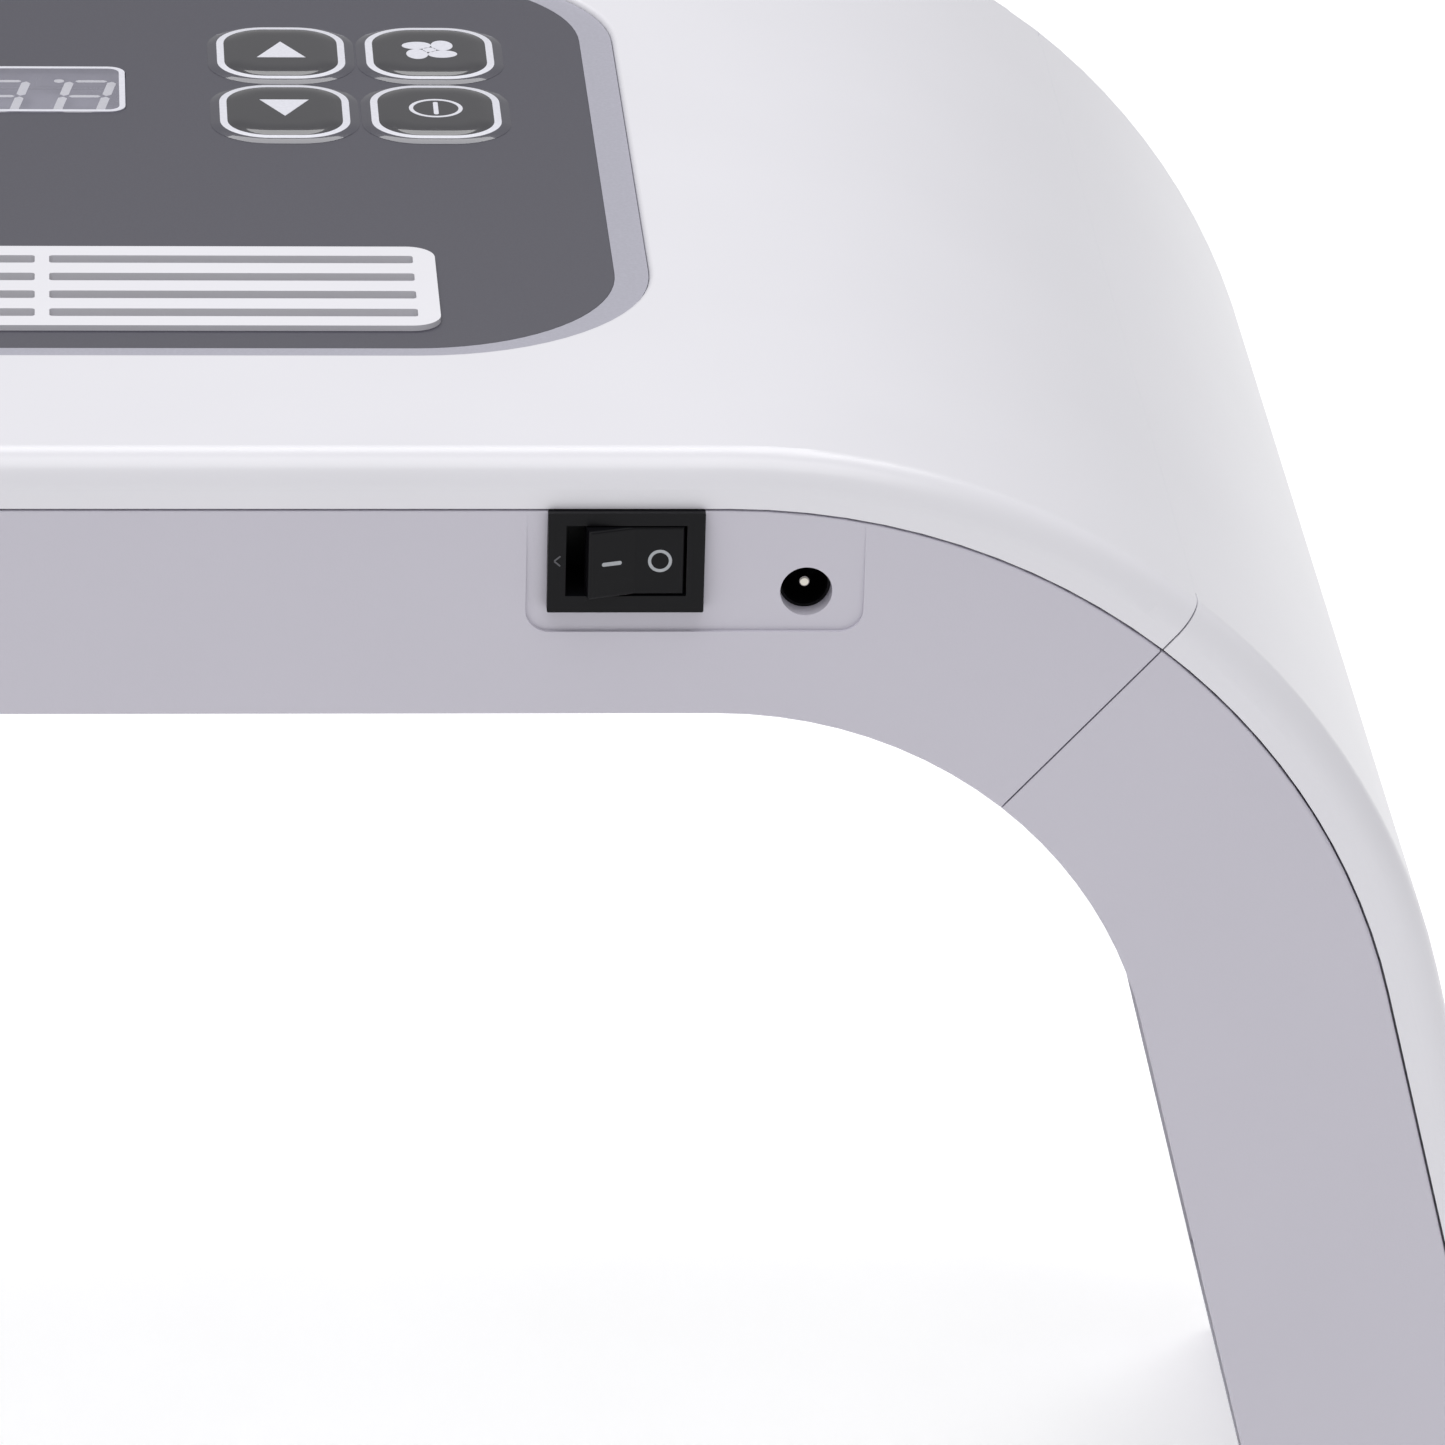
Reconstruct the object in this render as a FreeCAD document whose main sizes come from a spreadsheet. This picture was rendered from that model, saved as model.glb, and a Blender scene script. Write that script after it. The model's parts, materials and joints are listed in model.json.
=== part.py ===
# Foldable arch LED light-therapy lamp: a flat bridge with a control panel and two legs that fold in under it.
# Frame: millimetres, +Z up, origin on the ground under the middle of the bridge; the switch side faces -Y.
import FreeCAD, Part
import math
import os
import Sketcher

V = FreeCAD.Vector
UP, ACROSS, ALONG = V(0, 0, 1), V(1, 0, 0), V(0, 1, 0)

# ---------------------------------------------------------------- driving dimensions (mm and degrees)
DIMENSIONS = {
    # arch outline: the seam between the covers and the housings, and the inner face
    "depth": 238.0, "seam_level": 242.4, "seam_half": 91.1, "seam_radius": 94.8, "leg_lean": 14.5,
    "inner_drop": 29.4, "inner_half": 90.1, "inner_radius": 61.3,
    "cover_rise": 7.6, "cover_round": 4.6, "wall": 2.4, "seam_gap": 0.32, "seam_bevel": 0.35,
    "inner_round": 0.4,
    "tongue": 1.0, "tongue_rise": 3.0, "tongue_root": 4.0, "shell_bottom": 6.0,
    # fold: a mitre plane through the shoulder, with the hinge axis at its inner end
    "fold_half": 128.5, "fold_drop": 43.75, "fold_tilt": 42.1, "fold_gap": 0.25, "cover_gap": 0.02,
    "lip_depth": 6.5, "end_wall": 3.0,
    # butt hinges in the mitre faces
    "hinge_width": 36.0, "hinge_spot": 72.0, "knuckle_radius": 3.0, "knuckle_length": 11.0, "leaf": 1.2,
    "leaf_height": 24.0, "pin_radius": 1.25, "hinge_play": 0.2,
    # control panel on top of the bridge
    "panel_half": 79.4, "panel_reach": 77.2, "panel_corner": 28.8, "border": 4.8,
    "border_trim": 1.1, "recess": 1.6, "recess_round": 0.9, "overlay": 0.9, "panel_backing": 1.6,
    "vent_half": 54.6, "vent_near": -70.7, "vent_far": -40.1, "vent_rise": 0.8, "slot_width": 2.9,
    "slot_pitch": 6.85, "slot_first": -65.75, "slot_reach": 51.5, "slot_rib": 1.0,
    "window_half": 12.15, "window_near": 16.7, "window_far": 36.1,
    "key_x": 35.1, "key_pitch_x": 21.9, "key_y": 16.4, "key_pitch_y": 25.3, "key_width": 20.9,
    "key_length": 23.9, "key_corner": 8.0, "key_rise": 1.0, "key_play": 0.2, "key_stem": 2.5,
    "board": 1.6, "control_board_drop": 3.5,
    # rocker switch and power jack in the front fascia
    "switch_x": 77.45, "switch_drop": 6.7, "bezel_half": 10.45, "bezel_above": 6.85, "bezel_below": 7.4,
    "bezel": 1.5, "opening_half": 8.05, "opening_rise": 5.05, "barrel_half": 9.55, "barrel_rise": 6.25,
    "rocker_half": 6.55, "rocker_dip": 1.0, "rocker_tilt": 8.8, "rocker_half_height": 4.85,
    "pivot_depth": 7.7, "pivot_radius": 1.2, "pocket_left": 64.2, "pocket_right": 109.4,
    "pocket_drop": 17.4, "pocket_tilt": 1.7, "pocket_corner": 3.2, "switch_seat": 0.3,
    "jack_x": 101.7, "jack_drop": 11.7, "inlet_radius": 3.5, "inlet_wall": 3.1, "jack_bore": 3.1,
    "jack_pin": 0.85, "jack_half": 4.7, "jack_rise": 4.5, "jack_back": 14.5, "terminal_back": 19.0,
    # light panels: a clear cover, an LED board and 7 x 13 LEDs
    "light_half": 98.0, "bridge_light": 84.0, "leg_light_top": 6.0, "leg_light_end": 146.0,
    "frame_lip": 1.0, "rebate": 2.0, "clear_cover": 2.0, "led_board_height": 9.0, "led_radius": 2.5,
    "led_length": 5.4,
    # fans under the vent, screws and feet
    "fan_size": 40.0, "fan_x": 26.0, "fan_y": -56.0, "fan_thick": 10.0, "fan_radius": 18.6,
    "hub_radius": 8.5, "screw_y": 108.0, "screw_x": 118.0, "boss_radius": 4.0, "screw_radius": 1.5,
    "head_radius": 2.8, "cap_bottom": 3.0, "foot_x": 213.0, "foot_y": 80.0, "foot_width": 24.0,
    "foot_length": 60.0,
}
LED_ROWS, LED_COLUMNS, FAN_BLADES, SLOT_ROWS = 7, 13, 7, 4

doc = FreeCAD.newDocument("light_arch")
sheet = doc.addObject("Spreadsheet::Sheet", "dim")
for row, (alias, number) in enumerate(DIMENSIONS.items(), 1):
    sheet.set(f"A{row}", alias)
    sheet.set(f"B{row}", str(number))
    sheet.setAlias(f"B{row}", alias)
doc.recompute()


# ---------------------------------------------------------------- small tools
def size(alias):
    """A driving dimension as a number."""
    return float(sheet.get(alias))


def new(kind, label):
    """A document object with a label of its own."""
    made = doc.addObject(kind, label)
    made.Label = label
    return made


def frame(x=0, z=0, turn=0):
    """A place in the X-Z plane turned about Y: local X and Z follow the turn. All three are expressions."""
    return {"x": str(x), "z": str(z), "turn": str(turn)}


WORLD = frame()
SEAM = "dim.seam_level"
BRIDGE = frame(z=f"{SEAM} - dim.inner_drop")
LEG = frame(
    x="dim.inner_half + dim.inner_radius * cos(dim.leg_lean)",
    z=f"{SEAM} - dim.inner_drop - dim.inner_radius * (1 - sin(dim.leg_lean))",
    turn="90 - dim.leg_lean",
)
FOLD = frame(x="dim.fold_half", z=f"{SEAM} - dim.fold_drop", turn="dim.fold_tilt")


def place(made, at, where=WORLD, extra_turn=0):
    """Bind a Placement to a local position in a frame. Angles in expressions are degrees."""
    x, y, z = (f"({value})" for value in at)
    turn = f"({where['turn']})"
    made.Placement = FreeCAD.Placement(V(), FreeCAD.Rotation(ALONG, 1))
    made.setExpression("Placement.Rotation.Angle", f"{turn} + {extra_turn}")
    made.setExpression("Placement.Base.x", f"{where['x']} + cos({turn}) * {x} + sin({turn}) * {z}")
    made.setExpression("Placement.Base.y", y)
    made.setExpression("Placement.Base.z", f"{where['z']} - sin({turn}) * {x} + cos({turn}) * {z}")
    return made


def box(label, x, y, z, where=WORLD):
    """A box from (low, high) pairs of expressions in a frame."""
    made = new("Part::Box", label)
    for prop, (low, high) in zip(("Length", "Width", "Height"), (x, y, z)):
        made.setExpression(prop, f"({high}) - ({low})")
    return place(made, (x[0], y[0], z[0]), where)


def rod(label, radius, length, at, axis="Z", where=WORLD):
    """A cylinder that starts at a point and runs along X, Y or Z of a frame."""
    made = new("Part::Cylinder", label)
    made.setExpression("Radius", str(radius))
    made.setExpression("Height", str(length))
    if axis != "Y":
        return place(made, at, where, 90 if axis == "X" else 0)
    place(made, at, where)
    made.setExpression("Placement.Rotation.Angle", None)
    made.Placement = FreeCAD.Placement(V(), FreeCAD.Rotation(ACROSS, -90))
    return made


def cone(label, low_radius, high_radius, length, at, axis="Z", where=WORLD):
    """A cone frustum along X or Z of a frame."""
    made = new("Part::Cone", label)
    made.setExpression("Radius1", str(low_radius))
    made.setExpression("Radius2", str(high_radius))
    made.setExpression("Height", str(length))
    return place(made, at, where, 90 if axis == "X" else 0)


def fuse(label, *pieces):
    made = new("Part::MultiFuse", label)
    made.Shapes = list(pieces)
    return made


def group(label, pieces):
    """Separate solids that share one node."""
    made = new("Part::Compound", label)
    made.Links = list(pieces)
    return made


def cut(label, base, *tools):
    made = new("Part::Cut", label)
    made.Base = base
    made.Tool = tools[0] if len(tools) == 1 else fuse(f"{label}_tools", *tools)
    return made


def common(label, *pieces):
    made = new("Part::MultiCommon", label)
    made.Shapes = list(pieces)
    return made


def mirrored(label, source):
    """The left-hand twin of a right-hand piece."""
    made = new("Part::Mirroring", label)
    made.Source = source
    made.Normal = ACROSS
    return made


def sketch_on(body, role):
    """A sketch attached to one of a body's own origin planes."""
    sketch = body.newObject("Sketcher::SketchObject", f"{body.Label}_sketch")
    plane = next(p for p in body.Origin.OriginFeatures if p.Role == role)
    sketch.AttachmentSupport = [(plane, "")]
    sketch.MapMode = "FlatFace"
    return sketch


def drive(sketch, constraint, expression):
    """Add a constraint and bind its value."""
    index = sketch.addConstraint(constraint)
    sketch.setExpression(f"Constraints[{index}]", expression)


def pad(body, sketch, length, symmetric=False):
    made = body.newObject("PartDesign::Pad", f"{body.Label}_pad")
    made.Profile = sketch
    if symmetric:
        made.SideType = "Symmetric"
    made.setExpression("Length", str(length))
    sketch.Visibility = False
    return made


def line(start, end):
    return Part.LineSegment(V(*start, 0), V(*end, 0))


def arc(centre, radius, start, end):
    return Part.ArcOfCircle(Part.Circle(V(*centre, 0), UP, radius), start, end)


def arch(label, level, half, radius, width, bottom):
    """A solid arch: flat top, two shoulder arcs, two straight legs, a flat bottom; padded both ways in Y."""
    body = new("PartDesign::Body", label)
    sketch = sketch_on(body, "XZ_Plane")
    lean, top = math.radians(size("leg_lean")), size("seam_level")
    flat, bend = size("seam_half"), size("seam_radius")
    end = (flat + bend * math.cos(lean), top - bend + bend * math.sin(lean))
    toe = end[0] + end[1] * math.tan(lean)
    sketch.addGeometry([
        line((-flat, top), (flat, top)),
        arc((flat, top - bend), bend, lean, math.pi / 2),
        line(end, (toe, 0)),
        line((toe, 0), (-toe, 0)),
        line((-toe, 0), (-end[0], end[1])),
        arc((-flat, top - bend), bend, math.pi / 2, math.pi - lean),
    ], False)
    rule = Sketcher.Constraint
    sketch.addConstraint([
        rule("Tangent", 0, 2, 1, 2), rule("Tangent", 1, 1, 2, 1), rule("Coincident", 2, 2, 3, 1),
        rule("Coincident", 3, 2, 4, 1), rule("Tangent", 4, 2, 5, 2), rule("Tangent", 5, 1, 0, 1),
        rule("Symmetric", 0, 1, 0, 2, -2), rule("Symmetric", 3, 1, 3, 2, -2), rule("Equal", 1, 5),
    ])
    drive(sketch, rule("Radius", 1, bend), radius)
    drive(sketch, rule("DistanceX", 0, 1, 0, 2, 2 * flat), f"2 * {half}")
    drive(sketch, rule("DistanceY", -1, 1, 0, 1, top), level)
    drive(sketch, rule("DistanceY", -1, 1, 3, 1, 0.0), bottom)
    drive(sketch, rule("Angle", 2, lean - math.pi / 2), "(dim.leg_lean - 90) * 1 deg")
    pad(body, sketch, width, symmetric=True)
    return body


def plate(label, x, y, z, corner, where=WORLD):
    """A flat plate with rounded corners, from (low, high) pairs of expressions in a frame."""
    body = new("PartDesign::Body", label)
    sketch = sketch_on(body, "XY_Plane")
    w, d, r = 20.0, 16.0, 4.0
    sketch.addGeometry([
        line((r, 0), (w - r, 0)), arc((w - r, r), r, 1.5 * math.pi, 2 * math.pi),
        line((w, r), (w, d - r)), arc((w - r, d - r), r, 0, 0.5 * math.pi),
        line((w - r, d), (r, d)), arc((r, d - r), r, 0.5 * math.pi, math.pi),
        line((0, d - r), (0, r)), arc((r, r), r, math.pi, 1.5 * math.pi),
    ], False)
    rule = Sketcher.Constraint
    for side in (0, 2, 4, 6):
        sketch.addConstraint(rule("Tangent", side, 2, side + 1, 1))
        sketch.addConstraint(rule("Tangent", side + 1, 2, (side + 2) % 8, 1))
        sketch.addConstraint(rule("Horizontal" if side % 4 == 0 else "Vertical", side))
    for side in (3, 5, 7):
        sketch.addConstraint(rule("Equal", 1, side))
    sketch.addConstraint(rule("PointOnObject", 0, 1, -1))
    sketch.addConstraint(rule("PointOnObject", 6, 1, -2))
    drive(sketch, rule("Radius", 1, r), str(corner))
    drive(sketch, rule("DistanceX", 6, 1, 2, 1, w), f"({x[1]}) - ({x[0]})")
    drive(sketch, rule("DistanceY", 0, 1, 4, 1, d), f"({y[1]}) - ({y[0]})")
    pad(body, sketch, f"({z[1]}) - ({z[0]})")
    return place(body, (x[0], y[0], z[0]), where)


def upright_plate(label, x, z, y, thickness, corner, lean=0):
    """A plate that stands up and faces -Y, its low edge at a depth y. Lean tips it backwards, in degrees."""
    body = plate(label, x, z, (0, thickness), corner)
    body.setExpression("Placement.Rotation.Angle", None)
    body.Placement = FreeCAD.Placement(V(), FreeCAD.Rotation(ACROSS, 90 + lean))
    for axis, value in zip("xyz", (x[0], y, z[0])):
        body.setExpression(f"Placement.Base.{axis}", value)
    return body


def both(expression):
    """A (low, high) pair that is symmetric about zero."""
    return f"-({expression})", f"{expression}"


def around(middle, half):
    """A (low, high) pair about a middle."""
    return f"({middle}) - ({half})", f"({middle}) + ({half})"


def above_seam(low, high):
    """A (low, high) pair of levels counted from the seam."""
    return f"{SEAM} + ({low})", f"{SEAM} + ({high})"


def shape_of(label, shape):
    """A piece whose Shape comes from Part's own functions."""
    made = new("Part::Feature", label)
    made.Shape = shape
    return made


nodes = {}


def node(made):
    """Register a finished sub-part under its label."""
    nodes[made.Label] = made
    return made


# ---------------------------------------------------------------- blanks that the bridge and the legs share
def outline(label, rise, width, bottom="0"):
    """The seam outline moved outwards by rise."""
    return arch(label, f"{SEAM} + {rise}", "dim.seam_half", f"dim.seam_radius + {rise}", width, bottom)


def inner_outline(label, rise, width):
    """The inner face moved into the material by rise."""
    return arch(label, f"{SEAM} - dim.inner_drop + {rise}", "dim.inner_half", f"dim.inner_radius + {rise}",
                width, "-10")


def past_fold(label, shift):
    """Everything on the right leg's side of the fold plane, moved by shift along its normal."""
    return box(label, (shift, 400), (-200, 200), (-400, 400), FOLD)


half_depth = "dim.depth / 2"
inside = "dim.depth - 2 * dim.wall"
void = inner_outline("arch_void", "0", "dim.depth + 20")
seam_block = outline("seam_block", "0", "dim.depth", "dim.cap_bottom")
tongue_block = outline("tongue_block", "dim.tongue_rise", inside + " - 0.4")
tongue_half = f"({inside} - 0.4) / 2 - dim.tongue"
hollow = cut(
    "housing_hollow",
    fuse("hollow_blank",
         outline("hollow_low", "-dim.tongue_root", inside),
         outline("hollow_high", "dim.cover_rise", f"2 * ({tongue_half})")),
    inner_outline("inner_skin", "dim.wall", "dim.depth"),
)
cover_hollow = outline("cover_hollow", "dim.cover_rise - dim.wall", inside)
panel_top = "dim.cover_rise - dim.recess + dim.overlay"


def find_edges(shape, test):
    """One-based numbers of the edges whose bounding box passes a test."""
    return [number for number, edge in enumerate(shape.Edges, 1) if test(edge.BoundBox)]


def rounded(label, base, rounds):
    """Round edges of a base: rounds holds (test, radius) pairs."""
    doc.recompute()
    made = new("Part::Fillet", label)
    made.Base = base
    made.Edges = [
        (number, radius, radius) for test, radius in rounds for number in find_edges(base.Shape, test)
    ]
    base.Visibility = False
    return made


cover_level = size("seam_level") + size("cover_rise")
panel_edge = size("panel_half") + 2 * size("border")
border_reach = "dim.panel_reach + dim.border - dim.border_trim"


def long_edge(bounds):
    """An edge of the covers' front or rear outline, apart from the bottom."""
    at_face = bounds.YLength < 0.01 and abs(bounds.YMin) > size("depth") / 2 - 0.01
    return at_face and bounds.ZMax > size("shell_bottom")


def inner_edge(bounds):
    """An edge of the housings' front or rear outline along the inner face."""
    below_bridge = bounds.ZMax < size("seam_level") - size("inner_drop") + 0.01
    inside_legs = max(-bounds.XMin, bounds.XMax) < size("foot_x") - size("foot_width") / 2
    return long_edge(bounds) and below_bridge and inside_legs


def recess_rim(bounds):
    """An edge where the control panel's recess meets the top."""
    return bounds.ZMin > cover_level - 0.01 and bounds.XMax < panel_edge and bounds.XMin > -panel_edge \
        and bounds.YMax < panel_edge and bounds.YMin > -panel_edge


recess = plate(
    "panel_recess",
    both("dim.panel_half + dim.border + 0.1"), both(f"{border_reach} + 0.1"),
    above_seam("dim.cover_rise - dim.recess", "dim.cover_rise + 5"), "dim.panel_corner + dim.border - 0.4",
)
cover_block = rounded(
    "cover_block",
    cut("cover_blank", outline("cover_outline", "dim.cover_rise", "dim.depth", "dim.cap_bottom"), recess),
    [(long_edge, size("cover_round")), (recess_rim, size("recess_round"))],
)
cover_shell = cut("cover_shell", cover_block, outline("cover_underside", "dim.seam_gap", "dim.depth + 2"))
eased_block = rounded("seam_block_eased", seam_block, [(long_edge, size("seam_bevel"))])
housing_block = rounded(
    "housing_block",
    cut("housing_outline", fuse("housing_blank", eased_block, tongue_block), void),
    [(inner_edge, size("inner_round"))],
)
lip_gaps = [
    box(f"lip_gap_{name}", both("dim.fold_gap / 2"), y, (20, 70), FOLD)
    for name, y in (
        ("front", (f"-{half_depth} - 1", f"-{half_depth} + dim.lip_depth")),
        ("rear", (f"{half_depth} - dim.lip_depth", f"{half_depth} + 1")),
    )
]
lip_gap = group("lip_gap_right", lip_gaps)
lip_gap_left = mirrored("lip_gap_left", lip_gap)


# ---------------------------------------------------------------- light panels
def light_cutters(side, where, x):
    """The opening in a housing's inner face and the rebate that holds the clear cover."""
    opening = box(f"{side}_light_opening", x, both("dim.light_half"), (-8, "dim.wall + 1"), where)
    rebate = box(f"{side}_light_rebate", (f"{x[0]} - dim.rebate", f"{x[1]} + dim.rebate"),
                 both("dim.light_half + dim.rebate"), ("dim.frame_lip", "dim.wall + 2"), where)
    return [opening, rebate]


def light_panel(side, where, x):
    """Clear cover, LED board and LEDs of one panel, in the panel's frame."""
    play = 0.2
    node(plate(f"{side}_clear_cover",
               (f"{x[0]} - dim.rebate + {play}", f"{x[1]} + dim.rebate - {play}"),
               both(f"dim.light_half + dim.rebate - {play}"),
               ("dim.frame_lip", "dim.frame_lip + dim.clear_cover"), 1, where))
    node(plate(f"{side}_led_board", (f"{x[0]} - 5", f"{x[1]} + 5"), both("dim.light_half + 4.5"),
               ("dim.led_board_height", "dim.led_board_height + dim.board"), 2, where))


def led_array(side, turn, base, low, high):
    """All LEDs of one panel: a short flange, a round body and a domed end that faces the open side."""
    radius, length, height = size("led_radius"), size("led_length"), size("led_board_height")
    flange = Part.makeCylinder(radius + 0.4, 0.8, V(0, 0, height - 0.8))
    barrel = Part.makeCylinder(radius, length - radius, V(0, 0, height - length + radius))
    dome = Part.makeSphere(radius, V(0, 0, height - length + radius))
    led = flange.fuse([barrel, dome]).removeSplitter()
    reach = size("light_half")
    solids = []
    for row in range(LED_ROWS):
        x = low + (row + 0.5) * (high - low) / LED_ROWS
        for column in range(LED_COLUMNS):
            y = -reach + (column + 0.5) * 2 * reach / LED_COLUMNS
            solids.append(led.translated(V(x, y, 0)))
    made = shape_of(f"{side}_led_array", Part.makeCompound(solids))
    made.Placement = FreeCAD.Placement(V(*base), FreeCAD.Rotation(ALONG, turn))
    return node(made)


def led_posts(side, where, x):
    """Posts inside a housing that carry the LED board."""
    return [
        rod(f"{side}_led_post_{number}", 1.2, "dim.led_board_height - dim.wall + 0.5",
            (spot, f"{sign} * (dim.light_half + 3.4)", "dim.wall - 0.5"), "Z", where)
        for number, (spot, sign) in enumerate(((x[0], 1), (x[0], -1), (x[1], 1), (x[1], -1)), 1)
    ]


# ---------------------------------------------------------------- screws that join housings and covers
def boss_set(side, where, spots):
    """Housing bosses, cover bosses, their holes and the screws, at (x, y, skin) spots of a frame."""
    made = {"housing": [], "cover": [], "housing_holes": [], "cover_holes": [], "screws": []}
    for number, (x, y, skin) in enumerate(spots, 1):
        def post(kind, radius, low, high):
            """An upright cylinder at this spot; its levels count from the skin."""
            return rod(f"{kind}_{side}_{number}", radius, high - low, (x, y, f"{skin} + {low}"), "Z", where)

        made["housing"].append(post("housing_boss", "dim.boss_radius", -3, 9))
        made["housing_holes"] += [
            post("head_recess", "dim.head_radius + 0.3", -8, 5),
            post("shank_hole", "dim.screw_radius + 0.2", 0, 12),
        ]
        made["cover"].append(post("cover_boss", "dim.boss_radius - 0.5", 9.1, 50))
        made["cover_holes"].append(post("pilot_hole", "dim.screw_radius + 0.05", 8, 20))
        made["screws"].append(fuse(
            f"screw_{side}_{number}",
            post("screw_head", "dim.head_radius", 3, 5),
            post("screw_shank", "dim.screw_radius", 4.9, 19),
        ))
    return made


# ---------------------------------------------------------------- fold hinges (right side)
def hinge_y(sign):
    """The middle of a hinge along Y."""
    return f"{sign} * dim.hinge_spot"


def leaf(label, side, sign):
    """One hinge leaf: a plate on its mitre face and the knuckles that belong to it."""
    middle = hinge_y(sign)
    near, far = ("-dim.fold_gap / 2 - dim.leaf", "-dim.fold_gap / 2")
    x = (near, far) if side == "bridge" else (f"-({far})", f"-({near})")
    flat = box(f"{label}_flat", x, around(middle, "dim.hinge_width / 2"),
               ("dim.knuckle_radius + 0.6", "dim.leaf_height"), FOLD)
    outer = "dim.hinge_width / 2 - dim.knuckle_length"
    if side == "bridge":
        spans = [(f"{middle} - dim.hinge_width / 2", f"{middle} - ({outer})"),
                 (f"{middle} + ({outer})", f"{middle} + dim.hinge_width / 2")]
    else:
        spans = [(f"{middle} - ({outer}) + dim.hinge_play", f"{middle} + ({outer}) - dim.hinge_play")]
    bore = "dim.pin_radius" if side == "bridge" else "dim.pin_radius + 0.05"
    pieces = [flat]
    for number, (low, high) in enumerate(spans, 1):
        pieces.append(box(f"{label}_tab_{number}", x, (low, high), (0, "dim.knuckle_radius + 1"), FOLD))
        pieces.append(rod(f"{label}_knuckle_{number}", "dim.knuckle_radius", f"({high}) - ({low})",
                          (0, low, 0), "Y", FOLD))
    drill = rod(f"{label}_bore", bore, "dim.hinge_width + 4", (0, f"{middle} - dim.hinge_width / 2 - 2", 0),
                "Y", FOLD)
    holes = [hinge_screw(f"{label}_hole_{spot}", side, f"{middle} + {spot}", 0.06) for spot in (-11, 11)]
    return cut(label, fuse(f"{label}_blank", *pieces), drill, *holes)


def hinge_screw(label, side, y, play=0.0):
    """A countersunk screw through a leaf into the end wall; play makes it the hole for one."""
    sign = -1 if side == "bridge" else 1
    start = f"{sign} * dim.fold_gap / 2"
    wide, thin = f"2.4 + {play}", f"1.4 + {play}"
    if sign < 0:
        head = cone(f"{label}_head", thin, wide, 1.0, (f"{start} - 1.0", y, 14), "X", FOLD)
        shank = rod(f"{label}_shank", thin, 7.0, (f"{start} - 7.9", y, 14), "X", FOLD)
    else:
        head = cone(f"{label}_head", wide, thin, 1.0, (start, y, 14), "X", FOLD)
        shank = rod(f"{label}_shank", thin, 7.0, (f"{start} + 0.9", y, 14), "X", FOLD)
    return fuse(label, head, shank)


def hinge_cutters(side):
    """Seats for the leaves, room for the knuckles and screw holes in an end wall."""
    tools = []
    for place_name, sign in (("front", -1), ("rear", 1)):
        middle = hinge_y(sign)
        low, high = "-dim.fold_gap / 2 - dim.leaf - 0.1", "1"
        x = (low, high) if side == "bridge" else ("-1", f"-({low})")
        tools.append(box(f"{side}_leaf_seat_{place_name}", x, around(middle, "dim.hinge_width / 2 + 0.3"),
                         (-6, "dim.leaf_height + 0.2"), FOLD))
        tools.append(rod(f"{side}_knuckle_room_{place_name}", "dim.knuckle_radius + 0.5",
                         "dim.hinge_width + 0.6", (0, f"{middle} - dim.hinge_width / 2 - 0.3", 0), "Y", FOLD))
        tools += [hinge_screw(f"{side}_screw_hole_{place_name}_{spot}", side, f"{middle} + {spot}", 0.1)
                  for spot in (-11, 11)]
    return tools


hinge_sides = (("front", -1), ("rear", 1))
bridge_leaves = group("bridge_leaves_right", [leaf(f"bridge_leaf_{n}", "bridge", s) for n, s in hinge_sides])
leg_leaves = group("leg_hinge_leaves_right", [leaf(f"leg_leaf_{n}", "leg", s) for n, s in hinge_sides])
pins = group("pins_right", [
    rod(f"pin_{n}", "dim.pin_radius", "dim.hinge_width", (0, f"{hinge_y(s)} - dim.hinge_width / 2", 0), "Y",
        FOLD)
    for n, s in hinge_sides
])
bridge_screws = group("bridge_hinge_screws_right", [
    hinge_screw(f"bridge_hinge_screw_{n}_{spot}", "bridge", f"{hinge_y(s)} + {spot}")
    for n, s in hinge_sides for spot in (-11, 11)
])
leg_hinge_screws = group("leg_hinge_screws_right", [
    hinge_screw(f"leg_hinge_screw_{n}_{spot}", "leg", f"{hinge_y(s)} + {spot}")
    for n, s in hinge_sides for spot in (-11, 11)
])
node(group("bridge_hinge_leaves", [bridge_leaves, mirrored("bridge_leaves_left", bridge_leaves)]))
node(group("hinge_pins", [pins, mirrored("pins_left", pins)]))
node(group("bridge_hinge_screws", [bridge_screws, mirrored("bridge_hinge_screws_left", bridge_screws)]))
bridge_cut = fuse("bridge_hinge_room", *hinge_cutters("bridge"))
leg_cut = fuse("leg_hinge_room", *hinge_cutters("leg"))

# ---------------------------------------------------------------- bridge
bridge_light = both("dim.bridge_light")
shoulder_drop = "sqrt(dim.inner_radius ^ 2 - (dim.screw_x - dim.inner_half) ^ 2) - dim.inner_radius"
bridge_spots = [
    (x, f"{sign} * dim.screw_y", skin)
    for x, skin in (("-dim.screw_x", shoulder_drop), ("0", "0"), ("dim.screw_x", shoulder_drop))
    for sign in (-1, 1)
]
bridge_bosses = boss_set("bridge", BRIDGE, bridge_spots)
light_panel("bridge", BRIDGE, bridge_light)
light_level = size("seam_level") - size("inner_drop")
led_array("bridge", 0, (0, 0, light_level), -size("bridge_light"), size("bridge_light"))

past_end_wall = past_fold("past_end_wall", "-dim.end_wall")
past_end_walls = fuse("past_end_walls", past_end_wall, mirrored("past_end_wall_left", past_end_wall))
bridge_hollow = cut("bridge_hollow", hollow, past_end_walls)
past_gap = past_fold("past_gap", "-dim.fold_gap / 2")
past_cover_gap = past_fold("past_cover_gap", "-dim.cover_gap / 2")
tongue_end = common("tongue_end", past_fold("past_tongue_end", "-dim.end_wall - 0.3"),
                    cut("above_seam", outline("above_seam_block", "dim.cover_rise", "dim.depth"), seam_block))

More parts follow.
